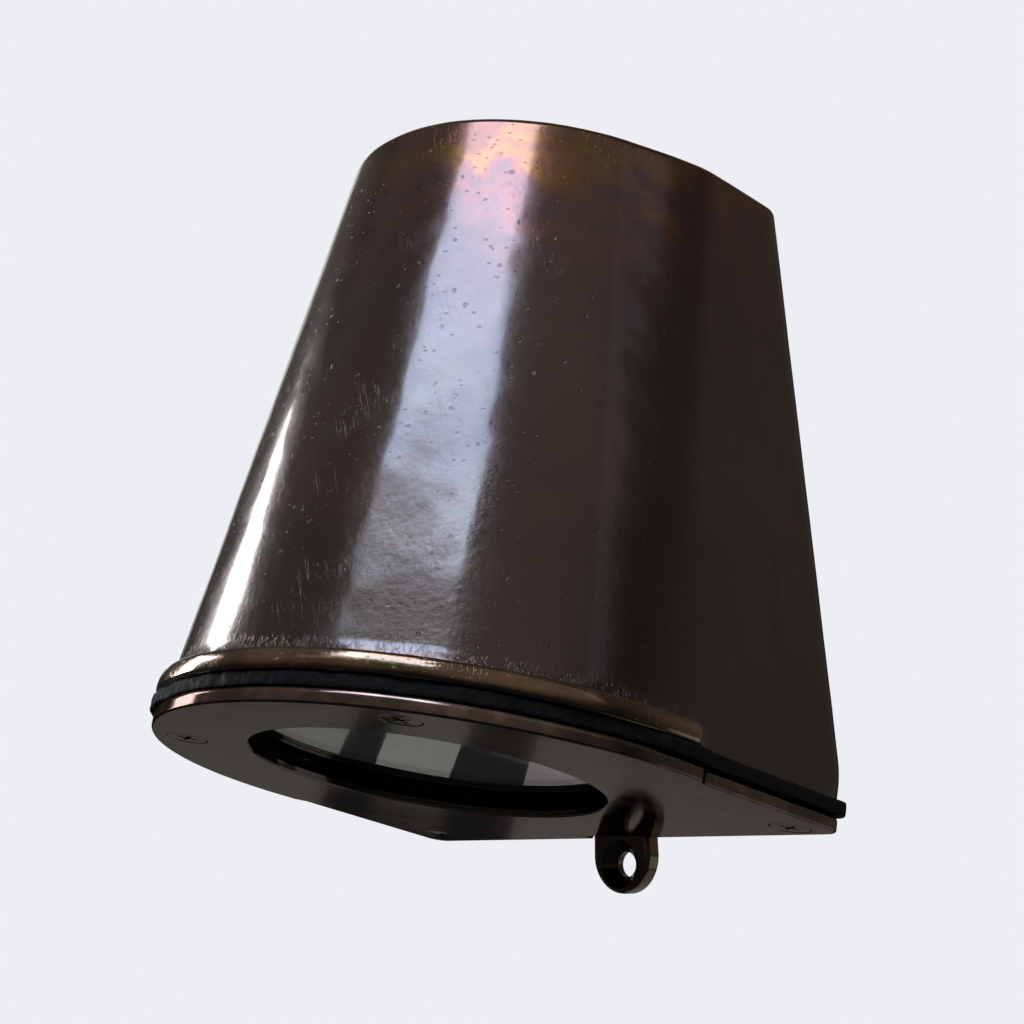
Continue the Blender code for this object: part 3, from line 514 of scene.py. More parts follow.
def make_patinated_bronze():
    """Dark brown polished casting, with heat colours near the crown, pits, scratches, worn edges, painted
    glint on the lug edges and painted shade on the lugs.
    """
    made, tree, shader, place = start_material(
        "patinated_bronze", Metallic=1.0, Coat_Weight=1.0, Coat_Roughness=0.10, Coat_IOR=1.5
    )
    height, wear_and_glint, filed, stain_and_shade = (
        add(tree, "Attribute", attribute_name=name).outputs["Fac"]
        for name in ("height", "wear_and_glint", "filed", "stain_and_shade")
    )
    blotch = grain(tree, place, 75.0, 5.0, 0.65, 0.6)
    fine = grain(tree, place, 900.0, 4.0, 0.6)
    body = bronze_body(tree, place, blotch, height, stain_and_shade)
    # Gold: wear on the bead and the crown's edge, and painted glint along the lug edges.
    gold = blend(tree, scale_to(tree, blotch, 0.40, 0.62), (0.140, 0.102, 0.056), (0.265, 0.185, 0.105))
    wear_and_glint_share = scale_to(tree, calc(tree, "ADD", wear_and_glint, calc(tree, "MULTIPLY", fine, 0.25)), 0.35, 0.85)
    colour = blend(tree, wear_and_glint_share, body, gold)

    hollows = bronze_hollows(tree, place, filed)
    dents = grain(tree, place, 150.0, 4.0, 0.6)
    peel = grain(tree, place, 700.0, 3.0, 0.5)
    normal = bumped(tree, dents, 0.13 * MM, 0.5)
    low_down = scale_to(tree, height, 0.55, 0.20, 0.25, 1.0)
    normal = bumped(tree, calc(tree, "MULTIPLY", peel, low_down), 0.07 * MM, 0.7, normal)
    normal = bumped(tree, calc(tree, "SUBTRACT", 1.0, hollows), 0.07 * MM, 1.0, normal)
    roughness = scale_to(tree, blotch, 0.3, 0.75, 0.17, 0.26)
    roughness = calc(tree, "SUBTRACT", roughness, calc(tree, "MULTIPLY", wear_and_glint_share, 0.07))
    roughness = calc(tree, "ADD", roughness, calc(tree, "MULTIPLY", hollows, 0.25), True)
    drive(tree, shader, Base_Color=colour, Roughness=roughness, Normal=normal)
    return made


EDGE_TINT = (0.44, 0.416, 0.402, 1.0)


def make_satin_bronze():
    """Rubbed-down flat bronze with fine lapping lines and bright worn edges."""
    made, tree, shader, place = start_material(
        "satin_bronze", Metallic=1.0, Coat_Weight=0.15, Coat_Roughness=0.05, Specular_Tint=EDGE_TINT
    )
    wear_and_glint = add(tree, "Attribute", attribute_name="wear_and_glint").outputs["Fac"]
    broad = grain(tree, place, 30.0, 3.0, 0.6)
    blotch = grain(tree, place, 120.0, 4.0, 0.6, 0.4)
    fine = grain(tree, place, 1500.0, 3.0, 0.6)
    body = blend(tree, scale_to(tree, broad, 0.35, 0.7), (0.174, 0.163, 0.143), (0.208, 0.183, 0.162))
    gold = blend(tree, scale_to(tree, blotch, 0.40, 0.65), (0.140, 0.110, 0.094), (0.245, 0.188, 0.150))
    wear_and_glint_share = scale_to(tree, calc(tree, "ADD", wear_and_glint, calc(tree, "MULTIPLY", fine, 0.2)), 0.3, 0.85)
    colour = blend(tree, wear_and_glint_share, body, gold)
    lap = grain(tree, stretched(tree, place, (0.08, 1.0, 1.0)), 2200.0, 2.0, 0.6)
    spots = pits(tree, place, 260.0, 0.16, 0.05)
    normal = bumped(tree, lap, 0.006 * MM, 0.5)
    normal = bumped(tree, calc(tree, "SUBTRACT", 1.0, spots), 0.05 * MM, 1.0, normal)
    normal = bumped(tree, broad, 0.15 * MM, 0.3, normal)
    roughness = scale_to(tree, blotch, 0.3, 0.75, 0.10, 0.17)
    drive(tree, shader, Base_Color=colour, Roughness=roughness, Normal=normal)
    return made


def make_black_rubber():
    made, tree, shader, place = start_material("black_rubber", Specular_IOR_Level=0.18)
    coarse = grain(tree, place, 500.0, 5.0, 0.65)
    crumbs = pits(tree, place, 800.0, 0.22, 0.12)
    dust = scale_to(tree, grain(tree, place, 1800.0, 3.0, 0.7), 0.60, 0.78)
    tone = scale_to(tree, coarse, 0.35, 0.7)
    colour = blend(tree, tone, (0.0042, 0.0043, 0.0044), (0.0145, 0.0147, 0.0150))
    colour = blend(tree, calc(tree, "MULTIPLY", dust, 0.25), colour, (0.10, 0.10, 0.10))
    normal = bumped(tree, coarse, 0.25 * MM, 0.8)
    normal = bumped(tree, calc(tree, "SUBTRACT", 1.0, crumbs), 0.15 * MM, 1.0, normal)
    roughness = scale_to(tree, coarse, 0.3, 0.7, 0.60, 0.88)
    drive(tree, shader, Base_Color=colour, Roughness=roughness, Normal=normal)
    return made


def make_clear_glass():
    made, tree, shader, place = start_material(
        "clear_glass", Transmission_Weight=1.0, IOR=1.5, Specular_IOR_Level=0.12
    )
    smear = grain(tree, place, 45.0, 4.0, 0.6, 0.5)
    drive(tree, shader, Roughness=scale_to(tree, smear, 0.4, 0.8, 0.012, 0.045))
    return made


def make_frosted_lens():
    """The lamp's front lens, moulded with small round facets."""
    made, tree, shader, place = start_material(
        "frosted_lens", Transmission_Weight=0.55, IOR=1.49, Base_Color=(0.86, 0.86, 0.82, 1.0)
    )
    facets = add(tree, "TexVoronoi", {"Vector": place, "Scale": 380.0}).outputs["Distance"]
    haze = grain(tree, place, 600.0, 3.0, 0.6)
    normal = bumped(tree, facets, 0.35 * MM, 0.8)
    drive(tree, shader, Roughness=scale_to(tree, haze, 0.3, 0.7, 0.22, 0.38), Normal=normal)
    return made


def metal(name, colour, worn_colour, roughness, brushing):
    """Plain metal with soft stains and fine lines, drawn out along the axis that brushing shrinks."""
    made, tree, shader, place = start_material(name, Metallic=1.0)
    lines = grain(tree, stretched(tree, place, brushing), 1400.0, 3.0, 0.6)
    blotch = grain(tree, place, 140.0, 4.0, 0.6, 0.3)
    shade = blend(tree, scale_to(tree, blotch, 0.35, 0.7), colour, worn_colour)
    normal = bumped(tree, lines, 0.012 * MM, 0.6)
    gloss = scale_to(tree, lines, 0.3, 0.7, *roughness)
    drive(tree, shader, Base_Color=shade, Roughness=gloss, Normal=normal)
    return made


def coated(name, colour, other, roughness, bump_size, bump_scale):
    """Paint, plastic, glaze or insulation: a soft two-tone colour and a fine skin texture."""
    made, tree, shader, place = start_material(name)
    blotch = grain(tree, place, 180.0, 4.0, 0.6)
    skin = grain(tree, place, bump_scale, 3.0, 0.6)
    shade = blend(tree, scale_to(tree, blotch, 0.35, 0.7), colour, other)
    gloss = scale_to(tree, skin, 0.3, 0.7, *roughness)
    normal = bumped(tree, skin, bump_size, 0.6)
    drive(tree, shader, Base_Color=shade, Roughness=gloss, Normal=normal)
    return made


def make_striped_insulation():
    """Green insulation with a yellow stripe."""
    made, tree, shader, place = start_material("green_pvc", Roughness=0.42)
    bands = add(tree, "TexWave", {"Vector": place, "Scale": 120.0, "Distortion": 1.0}).outputs["Fac"]
    skin = grain(tree, place, 1500.0, 2.0, 0.5)
    shade = blend(tree, scale_to(tree, bands, 0.45, 0.55), (0.045, 0.26, 0.05), (0.62, 0.55, 0.04))
    drive(tree, shader, Base_Color=shade, Normal=bumped(tree, skin, 0.01 * MM, 0.5))
    return made


def make_materials():
    plain = (1.0, 1.0, 1.0)
    upright = (1.0, 1.0, 0.06)
    return {
        "patinated_bronze": make_patinated_bronze(),
        "satin_bronze": make_satin_bronze(),
        "black_rubber": make_black_rubber(),
        "clear_glass": make_clear_glass(),
        "frosted_lens": make_frosted_lens(),
        "black_paint": coated(
            "black_paint", (0.004, 0.004, 0.004), (0.009, 0.009, 0.009), (0.5, 0.7), 0.02 * MM, 2500.0
        ),
        "zinc_steel": metal("zinc_steel", (0.50, 0.51, 0.52), (0.62, 0.61, 0.58), (0.26, 0.40), upright),
        "white_plastic": coated(
            "white_plastic", (0.72, 0.72, 0.69), (0.78, 0.78, 0.76), (0.35, 0.48), 0.01 * MM, 1800.0
        ),
        "white_ceramic": coated(
            "white_ceramic", (0.74, 0.72, 0.67), (0.80, 0.79, 0.75), (0.18, 0.34), 0.05 * MM, 700.0
        ),
        "brass": metal("brass", (0.60, 0.42, 0.17), (0.74, 0.56, 0.27), (0.24, 0.38), plain),
        "brown_pvc": coated(
            "brown_pvc", (0.10, 0.042, 0.018), (0.13, 0.055, 0.024), (0.35, 0.5), 0.01 * MM, 1500.0
        ),
        "blue_pvc": coated(
            "blue_pvc", (0.02, 0.075, 0.36), (0.03, 0.10, 0.46), (0.35, 0.5), 0.01 * MM, 1500.0
        ),
        "green_pvc": make_striped_insulation(),
    }


MATERIALS = make_materials()


# ---------------------------------------------------------------- hood


def wall_y(z):
    return WALL_Y - z * math.tan(COVER_TILT)


def hood_outline(z, inset=0.0, back_inset=None):
    """The hood's closed outline at a level: front arc, smooth run into flat sides, flat back."""
    along = (z - FOOT_LEVEL) / (HOOD_TOP - FOOT_LEVEL)
    radius = FOOT_RADIUS + (CROWN_RADIUS - FOOT_RADIUS) * along - inset
    centre = CROWN_CENTRE * along
    flat = FOOT_FLAT + (CROWN_FLAT - FOOT_FLAT) * along - inset
    back = wall_y(z) - (inset if back_inset is None else back_inset)
    rise = min(max((z - HOOD_BOTTOM) / (9 * MM), 0.0), 1.0)
    flare = 0.0 if inset else CORNER_FLARE * (1 - rise) ** 2
    corner = max(HOOD_CORNER + flare - inset, 1.5 * MM)
    end = (radius * math.cos(BLEND_ANGLE), centre - radius * math.sin(BLEND_ANGLE))
    reach = (FLAT_START - end[1]) / 3
    knots = (
        (flat, FLAT_START),
        (flat, FLAT_START - reach),
        (end[0] + reach * math.sin(BLEND_ANGLE), end[1] + reach * math.cos(BLEND_ANGLE)),
        end,
    )
    back_count, side_count, blend_count, arc_count = 24, 26, 22, 64
    half = [((flat - corner) * i / back_count, back) for i in range(back_count)]
    half += arc((flat - corner, back - corner), corner, math.pi / 2, 0, 10)
    side_end = back - corner
    half += [
        (flat, side_end + (FLAT_START - side_end) * i / side_count) for i in range(1, side_count)
    ]
    for i in range(blend_count):
        t = i / blend_count
        weights = ((1 - t) ** 3, 3 * t * (1 - t) ** 2, 3 * t * t * (1 - t), t**3)
        half.append(tuple(sum(w * k[axis] for w, k in zip(weights, knots)) for axis in (0, 1)))
    half += arc((0, centre), radius, -BLEND_ANGLE, -math.pi / 2, arc_count)
    return half + [(-x, y) for x, y in half[-2:0:-1]]


def bead_fullness(x, y):
    """How far the bead stands out at a bearing: 1 round the front, 0 past its two rounded ends."""
    past = (math.atan2(y, abs(x)) - STEP_ANGLE) * BEAD_RADIUS
    return math.sqrt(float(np.clip(-past / (2.2 * MM), 0, 1)))


def bead_row(share, rise):
    """One ring of the outer skin at the bead: share is how far out it is, rise how high up the bead."""
    z = HOOD_BOTTOM + BEAD_HEIGHT * rise
    bulge = BEAD_RADIUS - FOOT_RADIUS
    ring = []
    for x, y in hood_outline(z):
        reach = math.hypot(x, y)
        sway = noise.noise((x * 90, y * 90, 3.0)) * 0.28 * MM
        bead = FOOT_RADIUS + (bulge + sway) * share
        foot = reach + FILLET * bead_fullness(x, y)
        out = max(foot, reach + (bead - reach) * bead_fullness(x, y))
        ring.append((x * out / reach, y * out / reach, z))
    return ring


def fillet_row(z):
    """A ring of the outer skin just above the bead, where a hollow fillet runs out to it."""
    share = 1 - (z - BEAD_TOP) / FILLET_HEIGHT
    ring = []
    for x, y in hood_outline(z):
        reach = math.hypot(x, y)
        out = 1 + FILLET * share**2 * bead_fullness(x, y) / reach
        ring.append((x * out, y * out, z))
    return ring


def hood_skin():
    """The outside of the hood as one closed solid, with the bead round the foot of its front."""
    rows = [bead_row(share, rise) for share, rise in BEAD_PROFILE]
    for k in range(1, 13):
        rows.append(fillet_row(BEAD_TOP + FILLET_HEIGHT * k / 12))
    level = BEAD_TOP + FILLET_HEIGHT
    count = 90
    top = HOOD_TOP - CROWN_ROUNDING
    for k in range(1, count + 1):
        z = level + (top - level) * k / count
        rows.append([(x, y, z) for x, y in hood_outline(z)])
    for k in range(1, 7):
        turn = math.pi / 2 * k / 6
        z = top + CROWN_ROUNDING * math.sin(turn)
        inset = CROWN_ROUNDING * (1 - math.cos(turn))
        rows.append([(x, y, z) for x, y in hood_outline(z, inset, inset * 0.3)])
    middle_y = -1.0 * MM
    last = rows[-1]
    for share in (0.985, 0.95, 0.88, 0.78, 0.66, 0.52, 0.38, 0.24, 0.10):
        rows.append([(x * share, middle_y + (y - middle_y) * share, z) for x, y, z in last])
    rows.append([(0, middle_y, HOOD_TOP)])
    return grid_solid("hood_skin", rows)


def roughen(mesh):
    """Gentle hollows and swells of a hand-finished casting, none on the flat back and foot."""
    points = points_of(mesh)
    normals = np.zeros(len(points) * 3)
    mesh.vertex_normals.foreach_get("vector", normals)
    normals = normals.reshape(-1, 3)
    back = np.array([wall_y(z) for z in points[:, 2]])
    keep = ramp(back - points[:, 1], 0.2 * MM, 4 * MM)
    keep *= ramp(points[:, 2], HOOD_BOTTOM, HOOD_BOTTOM + 3 * MM)
    swell = np.array([noise.noise(Vector(p) * 45.0) for p in points])
    ripple = np.array([noise.noise(Vector(p) * 130.0 + Vector((7, 0, 0))) for p in points])
    dent = np.array([noise.noise(Vector(p) * 300.0 + Vector((0, 9, 0))) for p in points])
    shift = (0.14 * swell + 0.05 * ripple + 0.02 * dent) * MM * keep
    points += normals * shift[:, None]
    mesh.vertices.foreach_set("co", points.ravel())
    mesh.update()
    return mesh


def hood_hollow():
    """The cavity, with the screw bosses and the pads of the back wall left out of it."""
    bottom = HOOD_BOTTOM - 4 * MM
    top = HOOD_TOP - CROWN_WALL
    back = BACK_WALL / math.cos(COVER_TILT)
    rows = []
    for k in range(9):
        z = bottom + (top - 3 * MM - bottom) * k / 8
        rows.append([(x, y, z) for x, y in hood_outline(z, HOOD_WALL, back)])
    for k in range(1, 6):
        turn = math.pi / 2 * k / 5
        z = top - 3 * MM * (1 - math.sin(turn))
        inset = 3 * MM * (1 - math.cos(turn))
        rows.append([(x, y, z) for x, y in hood_outline(z, HOOD_WALL + inset, back + inset)])
    hollow = grid_solid("hollow", rows)
    kept = []
    for x, y in COVER_SCREWS:
        for side in (-1, 1):
            boss = cylinder(BOSS_RADIUS, HOOD_BOTTOM - 6 * MM, BOSS_TOP, 40)
            kept.append(moved(boss, Matrix.Translation((side * x, y, 0))))
    to_cover = TO_WALL.inverted()
    spots = [(0, z) for z in BRACKET_SCREW_Z] + [EARTH_SPOT]
    for x, z in spots:
        pad = cylinder(5.5 * MM, 0, BACK_WALL + PAD_HEIGHT, 40)
        kept.append(moved(pad, to_cover @ facing_out(x, z)))
    return combined(hollow, kept, "DIFFERENCE")


def lug_solid(root, end, upward):
    """A flat tongue with a round end, its rear edge eased and its front edge well rounded."""
    length = abs(end - root)
    rows = []
    for inset, depth in edge_profile(LUG_THICKNESS, 0.4 * MM, 1.7 * MM):
        width = LUG_HALF_WIDTH - inset
        ring = [(-width + 2 * width * i / 12, 6 * MM) for i in range(12)]
        ring += arc((0, -length), width, 0, -math.pi, 48)
        rows.append([(x, y, depth) for x, y in ring])
    turn = Matrix.Rotation(math.pi if upward else 0.0, 4, "Z")
    return moved(grid_solid("lug", rows), facing_out(0, root, 0.1 * MM) @ turn)


def edge_profile(thickness, low_round, high_round, steps=6):
    """Insets and heights of a plate's edge that is rounded below and above."""
    profile = []
    for k in range(steps + 1):
        turn = math.pi / 2 * k / steps
        profile.append((low_round * (1 - math.sin(turn)), low_round * (1 - math.cos(turn))))
    for k in range(steps + 1):
        turn = math.pi / 2 * k / steps
        profile.append((high_round * (1 - math.cos(turn)), thickness - high_round * (1 - math.sin(turn))))
    return profile


def hood_values(mesh):
    """Numbers that the bronze reads: height, wear with the painted glint on the lug edges, file marks,
    and the drip stain with painted shade on the lugs.
    """
    points = points_of(mesh)
    in_cover = points @ np.array(TO_WALL.inverted().to_3x3()).T
    in_cover += np.array(TO_WALL.inverted().translation)
    x, y, z = in_cover.T
    reach = np.hypot(x, y)
    rise = (z - HOOD_BOTTOM) / (HOOD_TOP - HOOD_BOTTOM)
    on_bead = ramp(reach - FOOT_RADIUS, 0.4 * MM, 1.4 * MM) * (1 - ramp(z, BEAD_TOP, BEAD_TOP + 1 * MM))
    on_bead *= (1 - ramp(y, 3 * MM, 6 * MM)) * 0.75
    crown_edge = ramp(z, HOOD_TOP - 1.3 * MM, HOOD_TOP - 0.5 * MM)
    crown_edge *= ramp(np.hypot(x / CROWN_FLAT, (y + 2 * MM) / CROWN_RADIUS), 0.93, 0.985)
    lug = ramp(np.abs(points[:, 2] + 0.004), 0.066, 0.068)
    past_straight = np.maximum(LOWER_LUG[1] - points[:, 2], points[:, 2] - UPPER_LUG[1])
    from_middle = np.hypot(points[:, 0], np.maximum(past_straight, 0))
    # Painted highlight: gold along the rounded edges of the lugs stands in for the glint of light on
    # them.
    lug_edge_glint = lug * ramp(from_middle, 6.9 * MM, 8.0 * MM) * 0.7
    near_back = points[:, 1] > -6 * MM
    # The gold share: painted glint on the lug edges, wear on the bead and the crown's edge.
    wear_and_glint = np.where(near_back & (lug > 0.5), lug_edge_glint, np.maximum(on_bead, crown_edge))
    above = z - BEAD_TOP
    filed = ramp(above, 0, 0.5 * MM) * (1 - ramp(above, 0.9 * MM, 3.6 * MM))
    filed *= 1 - ramp(y, -2 * MM, 6 * MM)
    drip_and_lug_shade = np.exp(-(((y - 26 * MM + (z - 45 * MM) * 0.06) / (1.6 * MM)) ** 2))
    drip_and_lug_shade *= ramp(z, 30 * MM, 38 * MM) * (1 - ramp(z, 50 * MM, 56 * MM)) * (x > 0)
    # Painted shade: the lugs by the wall get half the stain's darker brown.
    drip_and_lug_shade = np.maximum(drip_and_lug_shade * 0.7, lug * near_back * 0.5)
    for name, values in (("height", rise), ("wear_and_glint", wear_and_glint), ("filed", filed), ("stain_and_shade", drip_and_lug_shade)):
        set_values(mesh, name, values)


def make_hood():
    solid = combined(roughen(hood_skin()), [hood_hollow()], "DIFFERENCE")
    tappings = []
    for x, y in COVER_SCREWS:
        for side in (-1, 1):
            tapping = cylinder(2.3 * MM, HOOD_BOTTOM - 2 * MM, HOOD_BOTTOM + 13 * MM, 32)
            tappings.append(moved(tapping, Matrix.Translation((side * x, y, 0))))
    solid = moved(combined(solid, tappings, "DIFFERENCE"), TO_WALL)
    lugs = [lug_solid(*LOWER_LUG[:2], False), lug_solid(*UPPER_LUG[:2], True)]
    solid = combined(solid, lugs, "UNION")
    holes = []
    for _, _, z in (LOWER_LUG, UPPER_LUG):
        holes.append(moved(cylinder(LUG_HOLE_RADIUS, -2 * MM, 8 * MM, 48), facing_out(0, z)))
        low = LUG_THICKNESS - (LUG_SINK_RADIUS - LUG_HOLE_RADIUS)
        past = 1.2 * MM
        top = LUG_THICKNESS + past
        sink = cylinder(LUG_HOLE_RADIUS, low, top, 48, LUG_SINK_RADIUS + past)
        holes.append(moved(sink, facing_out(0, z)))
        ease = cylinder(0.2 * MM, LUG_THICKNESS - 0.2 * MM, top, 48, LUG_SINK_RADIUS + 3.2 * MM)
        holes.append(moved(ease, facing_out(0, z)))
    for x, z in [(0, z) for z in BRACKET_SCREW_Z] + [EARTH_SPOT]:
        holes.append(moved(cylinder(2.3 * MM, 1.5 * MM, 10 * MM, 32), facing_out(x, z)))
    holes.append(moved(cylinder(ENTRY_RADIUS, -2 * MM, 9 * MM, 64), facing_out(0, ENTRY_Z)))
    solid = combined(solid, holes, "DIFFERENCE")
    hood_values(solid)
    piece("hood_casting", solid, "housing", "patinated_bronze", "hood", sharp=32.0)


# ---------------------------------------------------------------- cover


def gasket_set_back(x, y):
    """How much less the gasket stands out at a bearing: it was cut too small round the front."""
    bearing = math.degrees(math.atan2(y, x))
    full = 1.3 * MM
    return full * float(ramp(bearing, -122, -106) * (1 - ramp(bearing, -14, 0)))


def flange_outline(grow, notch, arc_steps=110):
    """Outline of the plate and gasket, with the notch for the lower lug at its back."""
    radius = FLANGE_RADIUS + grow
    flat = FLAT_HALF_WIDTH + grow
    back = FLANGE_BACK + grow
    side = LUG_HALF_WIDTH + 0.5 * MM
    corner = arc((flat - FLANGE_CORNER, back - FLANGE_CORNER), FLANGE_CORNER, math.pi / 2, 0, 10)
    step_y = radius * math.sin(STEP_ANGLE)
    drop = radius * math.cos(STEP_ANGLE) - flat
    side_end = back - FLANGE_CORNER
    count = 26
    straight = [
        (flat, side_end + (step_y + STEP_LENGTH - side_end) * i / count) for i in range(1, count)
    ]
    step = [
        (flat + drop * (0.5 - 0.5 * math.cos(math.pi * t)), step_y + STEP_LENGTH * (1 - t))
        for t in (0.0, 0.2, 0.4, 0.6, 0.8)
    ]
    front = arc((0, 0), radius, STEP_ANGLE, -math.pi / 2, arc_steps)
    rear = [(side + (flat - FLANGE_CORNER - side) * i / 12, back) for i in range(12)]
    right = [(side, notch)] + rear + corner + straight + step + front
    return right + [(-x, y) for x, y in right[-2::-1]]


def cover_screw_spots():
    return [(side * x, y) for x, y in COVER_SCREWS for side in (-1, 1)]


def ear_spots():
    return [(EAR_CIRCLE * math.cos(a), OPENING_Y + EAR_CIRCLE * math.sin(a)) for a in EAR_ANGLES]


def plate_blank():
    """The plate without holes: its rim is well rounded towards the gasket and eased below."""
    rows = []
    for inset, z in edge_profile(PLATE_THICKNESS, 0.5 * MM, 1.3 * MM):
        rows.append([(x, y, z) for x, y in flange_outline(-inset * 0.85, LUG_NOTCH - inset)])
    return grid_solid("plate", rows)


def plate_bore():
    """What is cut out for the opening: an eased lower edge, two fine steps and the glass's rebate."""
    ease = 0.5 * MM
    top = PLATE_THICKNESS + 1 * MM
    profile = [(0, -1 * MM), (OPENING_RADIUS + ease, -1 * MM), (OPENING_RADIUS + ease, 0)]
    for k in range(1, 6):
        turn = math.pi / 2 * k / 5
        profile.append((OPENING_RADIUS + ease * (1 - math.sin(turn)), ease * (1 - math.cos(turn))))
    profile += [(OPENING_RADIUS, LENS_LIP - 0.7 * MM), (OPENING_RADIUS + 0.35 * MM, LENS_LIP - 0.6 * MM)]
    profile += [(OPENING_RADIUS + 0.35 * MM, LENS_LIP), (REBATE_RADIUS, LENS_LIP), (REBATE_RADIUS, top)]
    return moved(turned("bore", profile + [(0, top)], 192), OPENING)


def plate_wear(points):
    """How worn the plate's rim is: 1 on its outer edge and 0 on its flat underside."""
    x, y = points[:, 0], points[:, 1]
    outside = np.hypot(x, y) - (FLANGE_RADIUS - 0.5 * MM)
    sides = np.abs(x) - (FLAT_HALF_WIDTH - 0.5 * MM)
    outside = np.maximum(outside, np.where(y > 0, sides, -1))
    outside = np.maximum(outside, y - (FLANGE_BACK - 0.5 * MM))
    return ramp(outside, -0.15 * MM, 0.2 * MM)


def make_cover_plate():
    plate = combined(plate_blank(), [plate_bore()], "DIFFERENCE")
    pillars = []
    holes = []
    for x, y in ear_spots():
        spot = Matrix.Translation((x, y, 0))
        foot = PLATE_THICKNESS - 1 * MM
        pillars.append(moved(cylinder(PILLAR_RADIUS, foot, CLAMP_BOTTOM - GAP, 36), spot))
        holes.append(moved(cylinder(1.8 * MM, PLATE_THICKNESS, CLAMP_BOTTOM + 1 * MM, 24), spot))
    plate = combined(plate, pillars, "UNION")
    for x, y in cover_screw_spots():
        profile = [
            (0, -1 * MM),
            (5.55 * MM, -1 * MM),
            (2.3 * MM, 2.25 * MM),
            (2.3 * MM, PLATE_THICKNESS + 1 * MM),
            (0, PLATE_THICKNESS + 1 * MM),
        ]
        holes.append(moved(turned("countersink", profile, 48), Matrix.Translation((x, y, 0))))
    plate = combined(plate, holes, "DIFFERENCE")
    set_values(plate, "wear_and_glint", plate_wear(points_of(plate)))
    moved(plate, TO_WALL)
    piece("cover_plate_casting", plate, "cover", "satin_bronze", "cover_plate", sharp=30.0)


def gasket_row(z, inset):
    """The gasket's hand-cut outline at a level. Its edge strays a little differently at each level."""
    ring = []
    for x, y in flange_outline(GASKET_OVERHANG - inset, LUG_NOTCH - 0.9 * MM, 220):
        stray = noise.noise((x * 210, y * 210, 1.0 + z * 60))
        stray += 0.6 * noise.noise((x * 800, y * 800, z * 500))
        reach = 1 + (0.3 * MM * stray - gasket_set_back(x, y)) / math.hypot(x, y)
        ring.append((x * reach, y * reach, z))
    return ring


def make_cover_gasket():
    """Hand-cut rubber between the plate and the hood, with a rough edge."""
    inner = FLANGE_RADIUS - GASKET_BAND
    flat = FLAT_HALF_WIDTH - GASKET_BAND + 0.8 * MM
    back = FLANGE_BACK - 9.5 * MM
    turn = 6 * MM
    window = arc((0, 0), inner, 0, -math.pi, 90)
    window += arc((turn - flat, back - turn), turn, math.pi, math.pi / 2, 12)
    window += arc((flat - turn, back - turn), turn, math.pi / 2, 0, 12)
    cutters = [grid_solid("window", [[(x, y, z) for x, y in window] for z in (0, 12 * MM)])]
    for x, y in cover_screw_spots():
        cutters.append(moved(cylinder(2.4 * MM, 0, 12 * MM), Matrix.Translation((x, y, 0))))
    layers = ((0.12, 0.0), (0.0, 0.06), (0.0, 0.3), (0.0, 0.55), (0.0, 0.8), (0.05, 0.95), (0.15, 1.0))
    rise = GASKET_TOP - GASKET_BOTTOM
    rows = [gasket_row(GASKET_BOTTOM + rise * share, inset * MM) for inset, share in layers]
    mesh = combined(grid_solid("gasket", rows), cutters, "DIFFERENCE")
    piece("cover_gasket_sheet", moved(mesh, TO_WALL), "cover", "black_rubber", "cover_gasket", sharp=50.0)


# ---------------------------------------------------------------- screws


def threaded_rows(radius, length, pitch, sides=24):
    """Rings of a threaded shank from z = 0 down to -length, with a plain tip."""
    depth = pitch * 0.5
    rows = []
    count = max(int(length / pitch * 6), 8)
    for k in range(count + 1):
        z = -length * k / count
        fade = min(1.0, (length + z) / (1.2 * pitch) + 0.15, -z / (0.8 * pitch) + 0.1)
        ring = []
        for i in range(sides):
            angle = 2 * math.pi * i / sides
            phase = (z / pitch - i / sides) % 1.0
            valley = abs(2 * phase - 1)
            reach = radius - depth * valley * fade
            if k == count:
                reach = radius * 0.62
            ring.append((reach * math.cos(angle), reach * math.sin(angle), z))
        rows.append(ring)
    return rows


def cross_recess(size, depth):
    """A tapered cross cutter that reaches down from just above z = 0."""
    solids = []
    for turn in (0.0, math.pi / 2):
        rows = []
        for level, half in ((0.4 * MM, size * 1.12), (0.0, size), (-depth, size * 0.35)):
            width = 0.19 * size if level > -depth else 0.12 * size
            ring = [(half, width), (-half, width), (-half, -width), (half, -width)]
            rows.append([(x, y, level) for x, y in ring])
        blade = grid_solid("blade", rows)
        solids.append(moved(blade, Matrix.Rotation(turn, 4, "Z")))
    return solids


def screw_mesh(head_profile, radius, length, pitch, recess):
    """A screw whose head profile runs from the middle of its top down to the shank at z = 0."""
    sides = 24
    head = turned_rows(head_profile, sides)
    rows = head + threaded_rows(radius, length, pitch, sides)
    solid = grid_solid("screw", rows[::-1])
    size, depth, top = recess
    tools = [moved(tool, Matrix.Translation((0, 0, top))) for tool in cross_recess(size, depth)]
    return combined(solid, tools, "DIFFERENCE", "EXACT")


